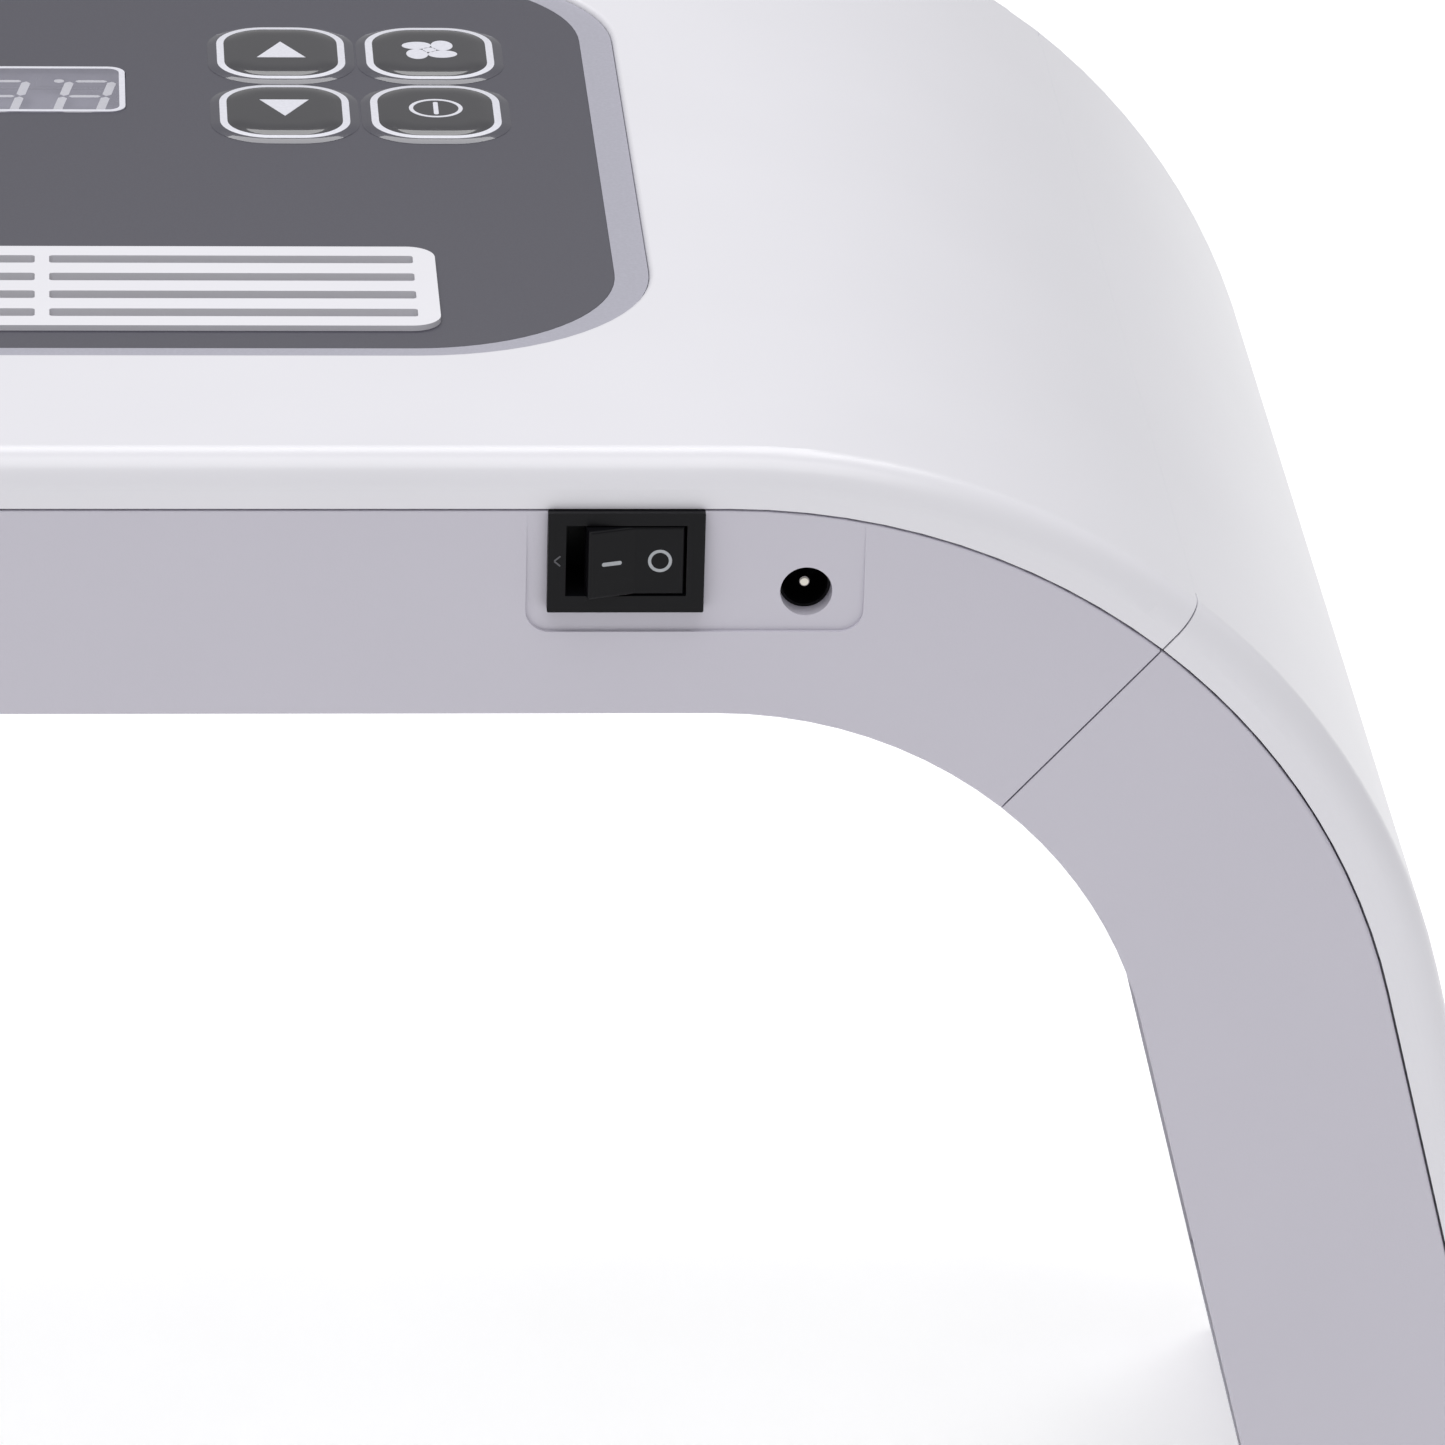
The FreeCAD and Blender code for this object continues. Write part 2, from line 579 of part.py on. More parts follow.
front = f"-{half_depth}"
pocket = upright_plate(
    "switch_pocket", ("dim.pocket_left", "dim.pocket_right"), above_seam("-dim.pocket_drop", 20),
    f"{front} + dim.pocket_drop * sin(dim.pocket_tilt)", 4, "dim.pocket_corner", size("pocket_tilt"),
)

jack_z = f"{SEAM} - dim.jack_drop"
jack_front = f"{front} + dim.inlet_wall + 0.35"
jack_pad = box("jack_pad", around("dim.jack_x", 6), (f"{front} + dim.wall - 0.2", jack_front),
               around(jack_z, 5.6))
switch_z = f"{SEAM} - dim.switch_drop"
switch_tools = [
    pocket,
    box("bezel_seat", around("dim.switch_x", "dim.bezel_half + 0.05"),
        (f"{front} - 1", f"{front} + dim.switch_seat"),
        (f"{switch_z} - dim.bezel_below - 0.05", f"{SEAM} + 1")),
    box("barrel_hole", around("dim.switch_x", "dim.barrel_half + 0.15"), (f"{front} - 1", f"{front} + 6"),
        (f"{switch_z} - dim.barrel_rise - 0.15", f"{SEAM} + 5")),
    rod("inlet_hole", "dim.inlet_radius", 8, ("dim.jack_x", f"{front} - 1", jack_z), "Y"),
]
trays = fuse(
    "bridge_tray_and_bosses",
    cut("bridge_tray", housing_block, bridge_hollow, past_gap, mirrored("past_gap_left", past_gap),
        tongue_end, mirrored("tongue_end_left", tongue_end)),
    jack_pad,
    *[cut(f"{boss.Label}_trimmed", boss, void) for boss in bridge_bosses["housing"]],
    *led_posts("bridge", BRIDGE, bridge_light),
)
node(cut("bridge_housing", trays, bridge_cut, mirrored("bridge_hinge_room_left", bridge_cut), *switch_tools,
         *light_cutters("bridge", BRIDGE, bridge_light), *bridge_bosses["housing_holes"]))

backing = box("panel_backing_plate", both("dim.panel_half + dim.border + 4"),
              both("dim.panel_reach + dim.border + 4"),
              above_seam("dim.cover_rise - dim.wall - dim.panel_backing", "dim.cover_rise - dim.wall + 0.1"))
board_posts = [
    rod(f"board_post_{number}", 2.5,
        "dim.cover_rise - dim.wall - dim.panel_backing + dim.control_board_drop + 0.5",
        (x, y, f"{SEAM} - dim.control_board_drop"))
    for number, (x, y) in enumerate(((-74, 6), (74, 6), (-74, 52), (74, 52)), 1)
]
cover_cavity = cut("cover_cavity", cover_hollow, past_end_walls)
cover_with_ribs = fuse(
    "cover_with_ribs",
    cut("bridge_cover_shell", cover_shell, cover_cavity, past_cover_gap,
        mirrored("past_cover_gap_left", past_cover_gap), lip_gap, lip_gap_left),
    backing, *board_posts,
    *[common(f"{boss.Label}_trimmed", boss, cover_block) for boss in bridge_bosses["cover"]],
)

KEY_NAMES = ("key_timer", "key_colour", "key_mode", "key_pulse", "key_down", "key_up", "key_power", "key_fan")


def key_centre(side, column, row):
    """The middle of a key as expressions."""
    return (f"{side} * (dim.key_x + {column} * dim.key_pitch_x)", f"dim.key_y + {row} * dim.key_pitch_y")


key_centres = [key_centre(side, column, row) for side in (-1, 1) for column in (0, 1) for row in (0, 1)]
stem_holes = [
    rod(f"stem_hole_{number}", "dim.key_stem + dim.key_play", 12, (*centre, SEAM))
    for number, centre in enumerate(key_centres, 1)
]


def vent_plate(label, inset, levels, corner):
    """The outline of the vent insert moved inwards, between two levels."""
    return plate(label, both(f"dim.vent_half - {inset}"),
                 (f"dim.vent_near + {inset}", f"dim.vent_far - {inset}"), levels, corner)


skirt_inset, skirt_wall, skirt_play, slot_depth = 2.0, 1.2, 0.2, 1.6
vent_hole = vent_plate("vent_hole", skirt_inset - skirt_play, above_seam(-2, 12), 2.2)
window_hole = plate("window_hole", both("dim.window_half + 0.1"),
                    ("dim.window_near - 0.1", "dim.window_far + 0.1"), above_seam(-2, 12), 2.6)
node(cut("bridge_cover", cover_with_ribs, vent_hole, window_hole, *stem_holes, *bridge_bosses["cover_holes"]))

# ---------------------------------------------------------------- control panel pieces
panel_levels = above_seam("dim.cover_rise - dim.recess", panel_top)
border_outer = plate("border_outer", both("dim.panel_half + dim.border"), both(border_reach), panel_levels,
                     "dim.panel_corner + dim.border - 0.5")
border_inner = plate("border_inner", both("dim.panel_half + 0.05"), both("dim.panel_reach + 0.05"),
                     panel_levels, "dim.panel_corner")
node(cut("panel_border", border_outer, border_inner))
overlay_blank = plate("overlay_blank", both("dim.panel_half"), both("dim.panel_reach"), panel_levels,
                      "dim.panel_corner")


def key_pad(label, centre, levels, play=0.0):
    """The rounded outline of a key between two levels."""
    return plate(label, around(centre[0], f"dim.key_width / 2 + {play}"),
                 around(centre[1], f"dim.key_length / 2 + {play}"), levels, f"dim.key_corner + {play}")


key_holes = [
    key_pad(f"key_hole_{number}", centre, above_seam(0, 14), size("key_play"))
    for number, centre in enumerate(key_centres, 1)
]
node(cut("control_overlay", overlay_blank, vent_hole, window_hole, *key_holes))
crest = cover_level - size("recess") + size("overlay") + size("key_rise")
for name, centre in zip(KEY_NAMES, key_centres):
    cap = key_pad(f"{name}_pad", centre, above_seam(f"{panel_top} - 0.3", f"{panel_top} + dim.key_rise"))
    domed = rounded(f"{name}_cap", cap, [(lambda bounds: bounds.ZMin > crest - 0.01, size("key_rise") - 0.2)])
    stem = rod(f"{name}_stem", "dim.key_stem", f"{panel_top} - 0.2 - 1.8", (*centre, f"{SEAM} + 1.8"))
    node(fuse(name, domed, stem))

window_levels = above_seam("dim.cover_rise - dim.wall - dim.panel_backing + 0.2", f"{panel_top} + 0.15")
node(plate("display_window", both("dim.window_half"), ("dim.window_near", "dim.window_far"), window_levels,
           2.5))
display_y = ("dim.window_near + 0.4", "dim.window_far - 0.4")
board_level = f"{SEAM} - dim.control_board_drop"
node(box("display_module", both("dim.window_half + 0.6"), display_y,
         (board_level, f"{SEAM} + dim.cover_rise - dim.wall - dim.panel_backing")))
node(plate("control_board", both(78), (2, 56), (f"{board_level} - dim.board", board_level), 2))
tact_switches = [
    fuse(f"tact_switch_{number}",
         box(f"tact_body_{number}", around(x, 3), around(y, 3), (board_level, f"{board_level} + 3.5")),
         rod(f"tact_button_{number}", 1.75, 1.3, (x, y, f"{board_level} + 3.4")))
    for number, (x, y) in enumerate(key_centres, 1)
]
node(group("tact_switches", tact_switches))

# ---------------------------------------------------------------- vent insert and fans
flange = vent_plate("vent_flange", 0, above_seam(panel_top, f"{panel_top} + dim.vent_rise"), 4)
skirt_levels = above_seam("dim.cover_rise - dim.wall - dim.panel_backing + 0.4", f"{panel_top} + 0.1")
skirt_outer = vent_plate("vent_skirt", skirt_inset, skirt_levels, 2)
skirt_bore = vent_plate("vent_skirt_bore", skirt_inset + skirt_wall,
                        above_seam(-2, f"{panel_top} - {slot_depth}"), 1)
slot_spans = {"right": ("dim.slot_rib", "dim.slot_reach"), "left": ("-dim.slot_reach", "-dim.slot_rib")}
slots = [
    plate(f"vent_slot_{row}_{side}", span,
          around(f"dim.slot_first + {row} * dim.slot_pitch", "dim.slot_width / 2"), above_seam(0, 14), 0.5)
    for row in range(SLOT_ROWS)
    for side, span in slot_spans.items()
]
node(cut("vent_grille", fuse("vent_blank", flange, cut("vent_wall", skirt_outer, skirt_bore)), *slots))

fan_top = f"{SEAM} + dim.cover_rise - dim.wall - dim.panel_backing - 0.1"
fan_bottom = f"{fan_top} - dim.fan_thick"
fan_floor = cover_level - size("wall") - size("panel_backing") - 0.1 - size("fan_thick")


def fan(side, sign):
    """A 40 mm axial fan: a square frame with a bearing plate on struts, and the impeller."""
    x, y = f"{sign} * dim.fan_x", "dim.fan_y"
    shell = cut(f"{side}_fan_shell",
                plate(f"{side}_fan_block", around(x, "dim.fan_size / 2"), around(y, "dim.fan_size / 2"),
                      (fan_bottom, fan_top), 3),
                rod(f"{side}_fan_bore", "dim.fan_radius + 0.6", "dim.fan_thick + 2",
                    (x, y, f"{fan_bottom} - 1")))
    struts = []
    for number in range(3):
        strut = new("Part::Box", f"{side}_fan_strut_{number}")
        strut.setExpression("Length", "dim.fan_radius + 0.8")
        strut.Width, strut.Height = 2.4, 1.5
        turn = 90 + 120 * number
        strut.Placement = FreeCAD.Placement(V(), FreeCAD.Rotation(UP, turn))
        strut.setExpression("Placement.Base.x", f"{x} + 1.2 * sin({turn})")
        strut.setExpression("Placement.Base.y", f"{y} - 1.2 * cos({turn})")
        strut.setExpression("Placement.Base.z", fan_bottom)
        struts.append(strut)
    seat = rod(f"{side}_fan_seat", "dim.hub_radius", 1.5, (x, y, fan_bottom))
    node(cut(f"{side}_fan_frame", fuse(f"{side}_fan_blank", shell, seat, *struts),
             rod(f"{side}_fan_bearing", 1.05, 3, (x, y, f"{fan_bottom} - 1"))))
    hub = rod(f"{side}_fan_hub", "dim.hub_radius", "dim.fan_thick - 2.6", (x, y, f"{fan_bottom} + 2"))
    shaft = rod(f"{side}_fan_shaft", 1.0, 2.5, (x, y, f"{fan_bottom} + 0.1"))
    blades = []
    chord, thick, root = 9.0, 0.9, size("hub_radius") - 0.8
    for number in range(FAN_BLADES):
        blade = Part.makeBox(size("fan_radius") - root, thick, chord, V(root, -thick / 2, -chord / 2))
        blade.rotate(V(), ACROSS, 48)
        blade.rotate(V(), UP, 360 / FAN_BLADES * number)
        blades.append(blade)
    rim = Part.makeCylinder(size("fan_radius"), 6.4, V(0, 0, -3.2))
    swept = shape_of(f"{side}_fan_blades", blades[0].multiFuse(blades[1:]).common(rim))
    hub_middle = V(sign * size("fan_x"), size("fan_y"), fan_floor + 5.7)
    swept.Placement = FreeCAD.Placement(hub_middle, FreeCAD.Rotation())
    node(fuse(f"{side}_fan_impeller", hub, shaft, swept))


fan("left", -1)
fan("right", 1)

# ---------------------------------------------------------------- rocker switch
bezel_front = f"{front} + dim.switch_seat - dim.bezel"
switch_blank = fuse(
    "switch_blank",
    upright_plate("switch_bezel", around("dim.switch_x", "dim.bezel_half"),
                  (f"{switch_z} - dim.bezel_below", f"{switch_z} + dim.bezel_above"),
                  f"{front} + dim.switch_seat", "dim.bezel", 0.2),
    box("switch_barrel", around("dim.switch_x", "dim.barrel_half"),
        (f"{front} + dim.switch_seat - 0.2", f"{front} + 12"), around(switch_z, "dim.barrel_rise")),
)
pivot_y = f"{bezel_front} + dim.pivot_depth"
trunnion_reach = size("opening_rise") + 0.8
node(cut(
    "switch_body", switch_blank,
    box("switch_cavity", around("dim.switch_x", "dim.opening_half"),
        (f"{bezel_front} - 1", f"{bezel_front} + 11"), around(switch_z, "dim.opening_rise")),
    rod("pivot_holes", "dim.pivot_radius + 0.05", 2 * (trunnion_reach + 0.1),
        ("dim.switch_x", pivot_y, f"{switch_z} - {trunnion_reach + 0.1}")),
))


def rocker_outline():
    """The rocker's section seen from above: a shallow V in front and a body that narrows to the back."""
    half, dip = size("rocker_half"), size("rocker_dip")
    return [V(-half, -dip, 0), V(0, 0, 0), V(half, -dip, 0), V(half - 0.3, 3, 0), V(3, 9.2, 0), V(-3, 9.2, 0),
            V(-half + 0.3, 3, 0)]


corners = rocker_outline()
rocker_section = Part.Face(Part.makePolygon(corners + corners[:1]))
rocker_prism = rocker_section.extrude(V(0, 0, 2 * size("rocker_half_height")))
rocker_prism.translate(V(0, -size("pivot_depth"), -size("rocker_half_height")))
front_edges = [edge for edge in rocker_prism.Edges if edge.BoundBox.YMax < -size("pivot_depth") + 0.3]
rocker_prism = rocker_prism.makeFillet(0.35, front_edges)
trunnion = Part.makeCylinder(size("pivot_radius"), 2 * trunnion_reach, V(0, 0, -trunnion_reach))
rocker = shape_of("switch_rocker", rocker_prism.fuse(trunnion).removeSplitter())
rocker.Placement = FreeCAD.Placement(
    V(size("switch_x"), -size("depth") / 2 + size("switch_seat") - size("bezel") + size("pivot_depth"),
      size("seam_level") - size("switch_drop")),
    FreeCAD.Rotation(UP, size("rocker_tilt")),
)
node(rocker)
node(group("switch_terminals", [
    box(f"switch_terminal_{number}", around(f"dim.switch_x + {x}", 2.35),
        (f"{front} + 12", f"{front} + dim.terminal_back"), around(switch_z, 0.4))
    for number, x in enumerate((-5, 5), 1)
]))

# ---------------------------------------------------------------- power jack
node(cut(
    "power_jack",
    box("jack_block", around("dim.jack_x", "dim.jack_half"), (jack_front, f"{front} + dim.jack_back"),
        around(jack_z, "dim.jack_rise")),
    rod("jack_bore_hole", "dim.jack_bore", 9.5, ("dim.jack_x", f"{jack_front} - 0.5", jack_z), "Y"),
    rod("jack_pin_hole", "dim.jack_pin", 11, ("dim.jack_x", f"{jack_front} + 1", jack_z), "Y"),
))
pin_blank = rod("jack_pin_blank", "dim.jack_pin", 11, ("dim.jack_x", f"{jack_front} + 0.2", jack_z), "Y")
node(rounded("power_jack_pin", pin_blank, [(lambda bounds: bounds.YMax < 10 - size("depth") / 2, 0.4)]))

# ---------------------------------------------------------------- driver board and leads
driver_level = f"{SEAM} - 16.8"
node(plate("driver_board", (8, 78), (-92, -44), (driver_level, f"{driver_level} + dim.board"), 2))
parts_level = f"{driver_level} + dim.board"
node(group("driver_components", [
    rod("capacitor_1", 4, 7.5, (20, -84, parts_level)),
    rod("capacitor_2", 4, 7.5, (31, -84, parts_level)),
    rod("choke", 5.5, 6, (24, -68, parts_level)),
    box("lead_socket", (58, 74), (-90, -82), (parts_level, f"{parts_level} + 6")),
    box("light_socket", (14, 34), (-54, -47), (parts_level, f"{parts_level} + 6")),
    box("switching_chip", (44, 54), (-70, -60), (parts_level, f"{parts_level} + 1.6")),
]))


def lead(points, bend, radius):
    """A wire along straight runs joined by tangent arcs."""
    edges, start = [], points[0]
    for before, corner, after in zip(points, points[1:], points[2:]):
        back, ahead = (before - corner).normalize(), (after - corner).normalize()
        reach = bend / math.tan(back.getAngle(ahead) / 2)
        enter, leave = corner + back * reach, corner + ahead * reach
        bisector = (back + ahead).normalize()
        middle = corner + bisector * (bend / math.sin(back.getAngle(ahead) / 2) - bend)
        edges += [Part.LineSegment(start, enter).toShape(), Part.Arc(enter, middle, leave).toShape()]
        start = leave
    edges.append(Part.LineSegment(start, points[-1]).toShape())
    path = Part.Wire(edges)
    section = Part.Wire(Part.makeCircle(radius, points[0], points[1] - points[0]))
    return path.makePipeShell([section], True, False)


def seam_point(x, y, drop):
    return V(x, y, size("seam_level") - drop)


wall_y = -size("depth") / 2
jack_back, terminal_back = wall_y + size("jack_back"), wall_y + size("terminal_back")
switch_x, switch_drop = size("switch_x"), size("switch_drop")
jack_x, jack_drop = size("jack_x"), size("jack_drop")
lead_runs = [
    (2.0, [(switch_x - 5, terminal_back, switch_drop), (switch_x - 5, terminal_back + 8, switch_drop),
           (62, terminal_back + 6, 12), (62, -90.2, 12.2)]),
    (3.0, [(jack_x, jack_back, jack_drop - 2.5), (jack_x, -92, jack_drop - 2.5), (84, -86, 12),
           (74.2, -86, 12)]),
    (1.8, [(jack_x, jack_back, jack_drop + 2.5), (jack_x, -99, jack_drop + 2.5), (88, -95, 9),
           (switch_x + 5, terminal_back + 5, switch_drop), (switch_x + 5, terminal_back, switch_drop)]),
]
node(shape_of("power_leads", Part.makeCompound([
    lead([seam_point(*spot) for spot in spots], bend, 0.8) for bend, spots in lead_runs
])))
node(group("bridge_screws", bridge_bosses["screws"]))

# ---------------------------------------------------------------- right leg and its left twin
leg_light = ("dim.leg_light_top", "dim.leg_light_end")
leg_spots = [(x, f"{sign} * dim.screw_y", "0") for x in (14, 138) for sign in (-1, 1)]
leg_bosses = boss_set("leg", LEG, leg_spots)
above_cap = box("above_cap", (0, 400), (-200, 200), ("dim.shell_bottom", 400))
leg_zone = common("leg_zone", past_fold("past_gap_leg", "dim.fold_gap / 2"), above_cap)
leg_cover_zone = common("leg_cover_zone", past_fold("past_cover_gap_leg", "dim.cover_gap / 2"), above_cap)
leg_inside = past_fold("leg_inside", "dim.end_wall")
leg_above_seam = cut("leg_above_seam", outline("leg_above_block", "dim.cover_rise", "dim.depth"), seam_block)
leg_tongue_end = cut("leg_tongue_end", leg_above_seam, past_fold("past_leg_tongue", "dim.end_wall + 0.3"))
leg_pieces = []


def leg_node(made):
    """Register a right-hand leg piece and remember it for its left twin."""
    leg_pieces.append(node(made))
    return made


leg_tray = cut("leg_tray", common("leg_tray_blank", housing_block, leg_zone),
               common("leg_hollow", hollow, leg_inside), leg_tongue_end)
leg_node(cut(
    "leg_housing_right",
    fuse("leg_tray_and_bosses", leg_tray, *led_posts("leg", LEG, leg_light),
         *[cut(f"{boss.Label}_trimmed", boss, void) for boss in leg_bosses["housing"]]),
    leg_cut, *light_cutters("leg", LEG, leg_light), *leg_bosses["housing_holes"],
))
leg_shell = cut("leg_cover_hollowed", common("leg_cover_blank", cover_shell, leg_cover_zone),
                common("leg_cover_hollow", cover_hollow, leg_inside), lip_gap)
leg_node(cut(
    "leg_cover_right",
    fuse("leg_cover_and_bosses", leg_shell,
         *[common(f"{boss.Label}_trimmed", boss, cover_block) for boss in leg_bosses["cover"]]),
    *leg_bosses["cover_holes"],
))
light_panel("leg", LEG, leg_light)
lean, bend = math.radians(size("leg_lean")), size("inner_radius")
leg_base = (size("inner_half") + bend * math.cos(lean), 0, light_level - bend * (1 - math.sin(lean)))
led_array("leg", 90 - size("leg_lean"), leg_base, size("leg_light_top"), size("leg_light_end"))
for name in ("leg_clear_cover", "leg_led_board", "leg_led_array"):
    piece = nodes.pop(name)
    piece.Label = f"{name}_right"
    leg_node(piece)
cap_slab = box("cap_slab", (0, 400), (-200, 200), ("dim.cap_bottom", "dim.shell_bottom"))
plug_slab = box("cap_plug_slab", (0, 400), (-200, 200), ("dim.shell_bottom - 0.5", "dim.shell_bottom + 3"))
cap_plug = common("cap_plug", box("cap_plug_blank", (120, 230), both(105), (5, 29), LEG), plug_slab)
leg_end = common("leg_end_section", cut("leg_end_block", cover_block, void), cap_slab)
leg_node(fuse("leg_end_cap_right", leg_end, cap_plug))
leg_node(group("leg_feet_right", [
    plate(f"foot_{name}", around("dim.foot_x", "dim.foot_width / 2"),
          around(f"{sign} * dim.foot_y", "dim.foot_length / 2"), (0, "dim.cap_bottom"), 9)
    for name, sign in (("front", -1), ("rear", 1))
]))
leg_node(group("leg_screws_right", leg_bosses["screws"]))
leg_node(leg_leaves)
leg_node(leg_hinge_screws)
for piece in leg_pieces:
    node(mirrored(piece.Label.replace("_right", "_left"), piece))

# ---------------------------------------------------------------- check and write
doc.recompute()
for made in doc.Objects:
    if "Invalid" in made.State or "Error" in made.State:
        raise RuntimeError(f"{made.Label} failed: {made.State}")
os.makedirs("parts", exist_ok=True)
for name, made in nodes.items():
    shape = made.Shape
    if shape.isNull() or not shape.isValid() or not shape.Solids:
        raise RuntimeError(f"{name} has no valid solid")
    shape.exportStep(f"parts/{name}.step")
    bounds = shape.BoundBox
    spans = " ".join(f"{low:.1f}..{high:.1f}" for low, high in (
        (bounds.XMin, bounds.XMax), (bounds.YMin, bounds.YMax), (bounds.ZMin, bounds.ZMax)))
    print(f"{name}: {len(shape.Solids)} solid(s), {shape.Volume:.0f} mm3, {spans}")
print(len(nodes), "nodes")
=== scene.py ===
"""Looks, domed keys, printed marks and studio for a foldable arch-shaped light-therapy lamp.

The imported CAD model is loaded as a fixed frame. Sizes are in millimetres where MM turns them to metres, and
settings that a user may change are in metres.
"""
import json
import math

import bpy
from bpy.props import FloatProperty, FloatVectorProperty, PointerProperty
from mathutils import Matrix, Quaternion, Vector


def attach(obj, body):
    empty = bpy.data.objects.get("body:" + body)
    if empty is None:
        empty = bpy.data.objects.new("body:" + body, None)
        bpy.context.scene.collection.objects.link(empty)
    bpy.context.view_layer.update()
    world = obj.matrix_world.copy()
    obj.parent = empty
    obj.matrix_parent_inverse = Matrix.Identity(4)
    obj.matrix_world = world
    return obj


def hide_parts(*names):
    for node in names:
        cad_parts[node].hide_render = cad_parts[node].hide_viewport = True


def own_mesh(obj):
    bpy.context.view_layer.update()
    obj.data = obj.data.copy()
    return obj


bl_info = {
    "name": "Light Therapy Arch",
    "version": (1, 0, 0),
    "blender": (4, 5, 0),
    "location": "View3D > Sidebar > Light Arch",
    "description": "Finishes, domed keys, printed marks and studio for a foldable light-therapy arch",
    "category": "Object",
}

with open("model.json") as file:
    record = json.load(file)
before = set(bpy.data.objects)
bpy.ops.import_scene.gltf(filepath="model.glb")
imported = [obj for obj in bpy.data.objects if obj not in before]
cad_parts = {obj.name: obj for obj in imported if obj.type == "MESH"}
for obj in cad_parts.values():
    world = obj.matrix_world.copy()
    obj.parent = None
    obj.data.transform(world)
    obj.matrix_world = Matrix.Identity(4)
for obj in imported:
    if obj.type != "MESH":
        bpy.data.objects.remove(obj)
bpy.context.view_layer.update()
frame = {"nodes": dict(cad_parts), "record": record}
NODES = frame["nodes"]
MM = 0.001

# Levels and places on the bridge, in millimetres.
OVERLAY_TOP = 249.3
KEY_SPOTS = {
    "key_timer": (-35.1, 16.4), "key_colour": (-35.1, 41.7), "key_mode": (-57.0, 16.4),
    "key_pulse": (-57.0, 41.7), "key_down": (35.1, 16.4), "key_up": (35.1, 41.7),
    "key_power": (57.0, 16.4), "key_fan": (57.0, 41.7),
}
WINDOW_SPOT = (0.0, 26.4)
ROCKER_PIVOT = (77.45, -112.5, 235.7)

# A domed key from its foot to its crown, in millimetres: the thin edge, the skirt, the slope that carries the
# printed ring, and the crown as (inward step, rise) pairs.
DOME_FOOT = OVERLAY_TOP + 0.01
DOME_EDGE = 0.03
SKIRT_STEP = 0.7
SKIRT_RISES = (0.2, 0.16)
RING_RISE = 0.06
CROWN = ((0.7, 0.2), (0.7, 0.14), (0.8, 0.08), (0.8, 0.04), (0.8, 0.01))
DOME_HEIGHT = DOME_EDGE + sum(SKIRT_RISES) + RING_RISE + sum(rise for _, rise in CROWN)

# Icons on the keys, in millimetres.
ICON_RADIUS = 3.9
ICON_LINE = 0.6

# The display's digits: their level, their lean in degrees and the distance between their middles.
DIGIT_LEVEL = 248.3
DIGIT_LEAN = 8.6
DIGIT_PITCH = 12.5

# The turn, in degrees, of the half of the rocker that carries the dash.
ROCKER_TURN = 17.5

# The studio, in metres. A lamp is its name, place, size and power in watts.
FLOOR_LEVEL = -0.2 * MM
AIR = 0.36
LAMP_AIM = (0, 0, 0.25)
LAMPS = (("overhead", (-0.1, -0.55, 1.85), (1.8, 1.2), 19), ("rear", (0.0, 0.95, 1.55), (1.5, 0.8), 11))
CAMERA_SPOT = (0, -1.3212, 0.7327)
CAMERA_AHEAD = (0.069266, 0.915363, -0.396628)
CAMERA_ROLL = 1.6356
CAMERA_SENSOR = 36
CAMERA_LENS = 243.96


# ---------------------------------------------------------------- colour and node tools
def linear(code):
    """An sRGB hex colour as linear RGBA."""
    channels = (int(code[i:i + 2], 16) / 255 for i in (1, 3, 5))
    return (*(c / 12.92 if c <= 0.04045 else ((c + 0.055) / 1.055) ** 2.4 for c in channels), 1.0)


def add(material, kind, settings=None, links=None):
    """Add a shader node. Settings name its properties or inputs; links name its inputs and give outputs."""
    made = material.node_tree.nodes.new(kind)
    for key, value in (settings or {}).items():
        if isinstance(key, str) and hasattr(made, key):
            setattr(made, key, value)
        else:
            made.inputs[key].default_value = value
    for key, output in (links or {}).items():
        material.node_tree.links.new(output, made.inputs[key])
    return made


def link(material, output, shader, socket):
    """Join an output to a named socket."""
    material.node_tree.links.new(output, shader.inputs[socket])


def finish_of(name, settings):
    """A new material whose Principled shader has these constants."""
    material = bpy.data.materials.new(name)
    material.use_nodes = True
    material.node_tree.nodes.clear()
    shader = add(material, "ShaderNodeBsdfPrincipled", settings)
    add(material, "ShaderNodeOutputMaterial", links={"Surface": shader.outputs["BSDF"]})
    return material, shader


def spots(material, kind, size_mm, settings=None, stretch=None):
    """A noise or cell texture whose features are size_mm across, stretched along an axis if asked."""
    place = add(material, "ShaderNodeTexCoord").outputs["Object"]
    if stretch:
        place = add(material, "ShaderNodeMapping", {"Scale": stretch}, {"Vector": place}).outputs["Vector"]
    return add(material, kind, {"Scale": 1 / (size_mm * MM), **(settings or {})}, {"Vector": place})


def ranged(material, output, low, high):
    """A 0..1 output mapped to low..high."""
    made = add(material, "ShaderNodeMapRange", {"To Min": low, "To Max": high}, {"Value": output})
    return made.outputs["Result"]


def lighter(colour, factor):
    """A colour with its three channels multiplied, at most white."""
    return (*(min(1.0, channel * factor) for channel in colour[:3]), 1.0)


def tinted(material, output, shader, first, second):
    """Base colour that runs between two colours with an output."""
    mix = add(material, "ShaderNodeMix", {"data_type": "RGBA", 6: first, 7: second}, {"Factor": output})
    link(material, mix.outputs[2], shader, "Base Color")


def bumped(material, shader, output, strength, height_mm):
    """Surface relief of height_mm from an output."""
    bump = add(material, "ShaderNodeBump", {"Strength": strength, "Distance": height_mm * MM},
               {"Height": output})
    link(material, bump.outputs["Normal"], shader, "Normal")


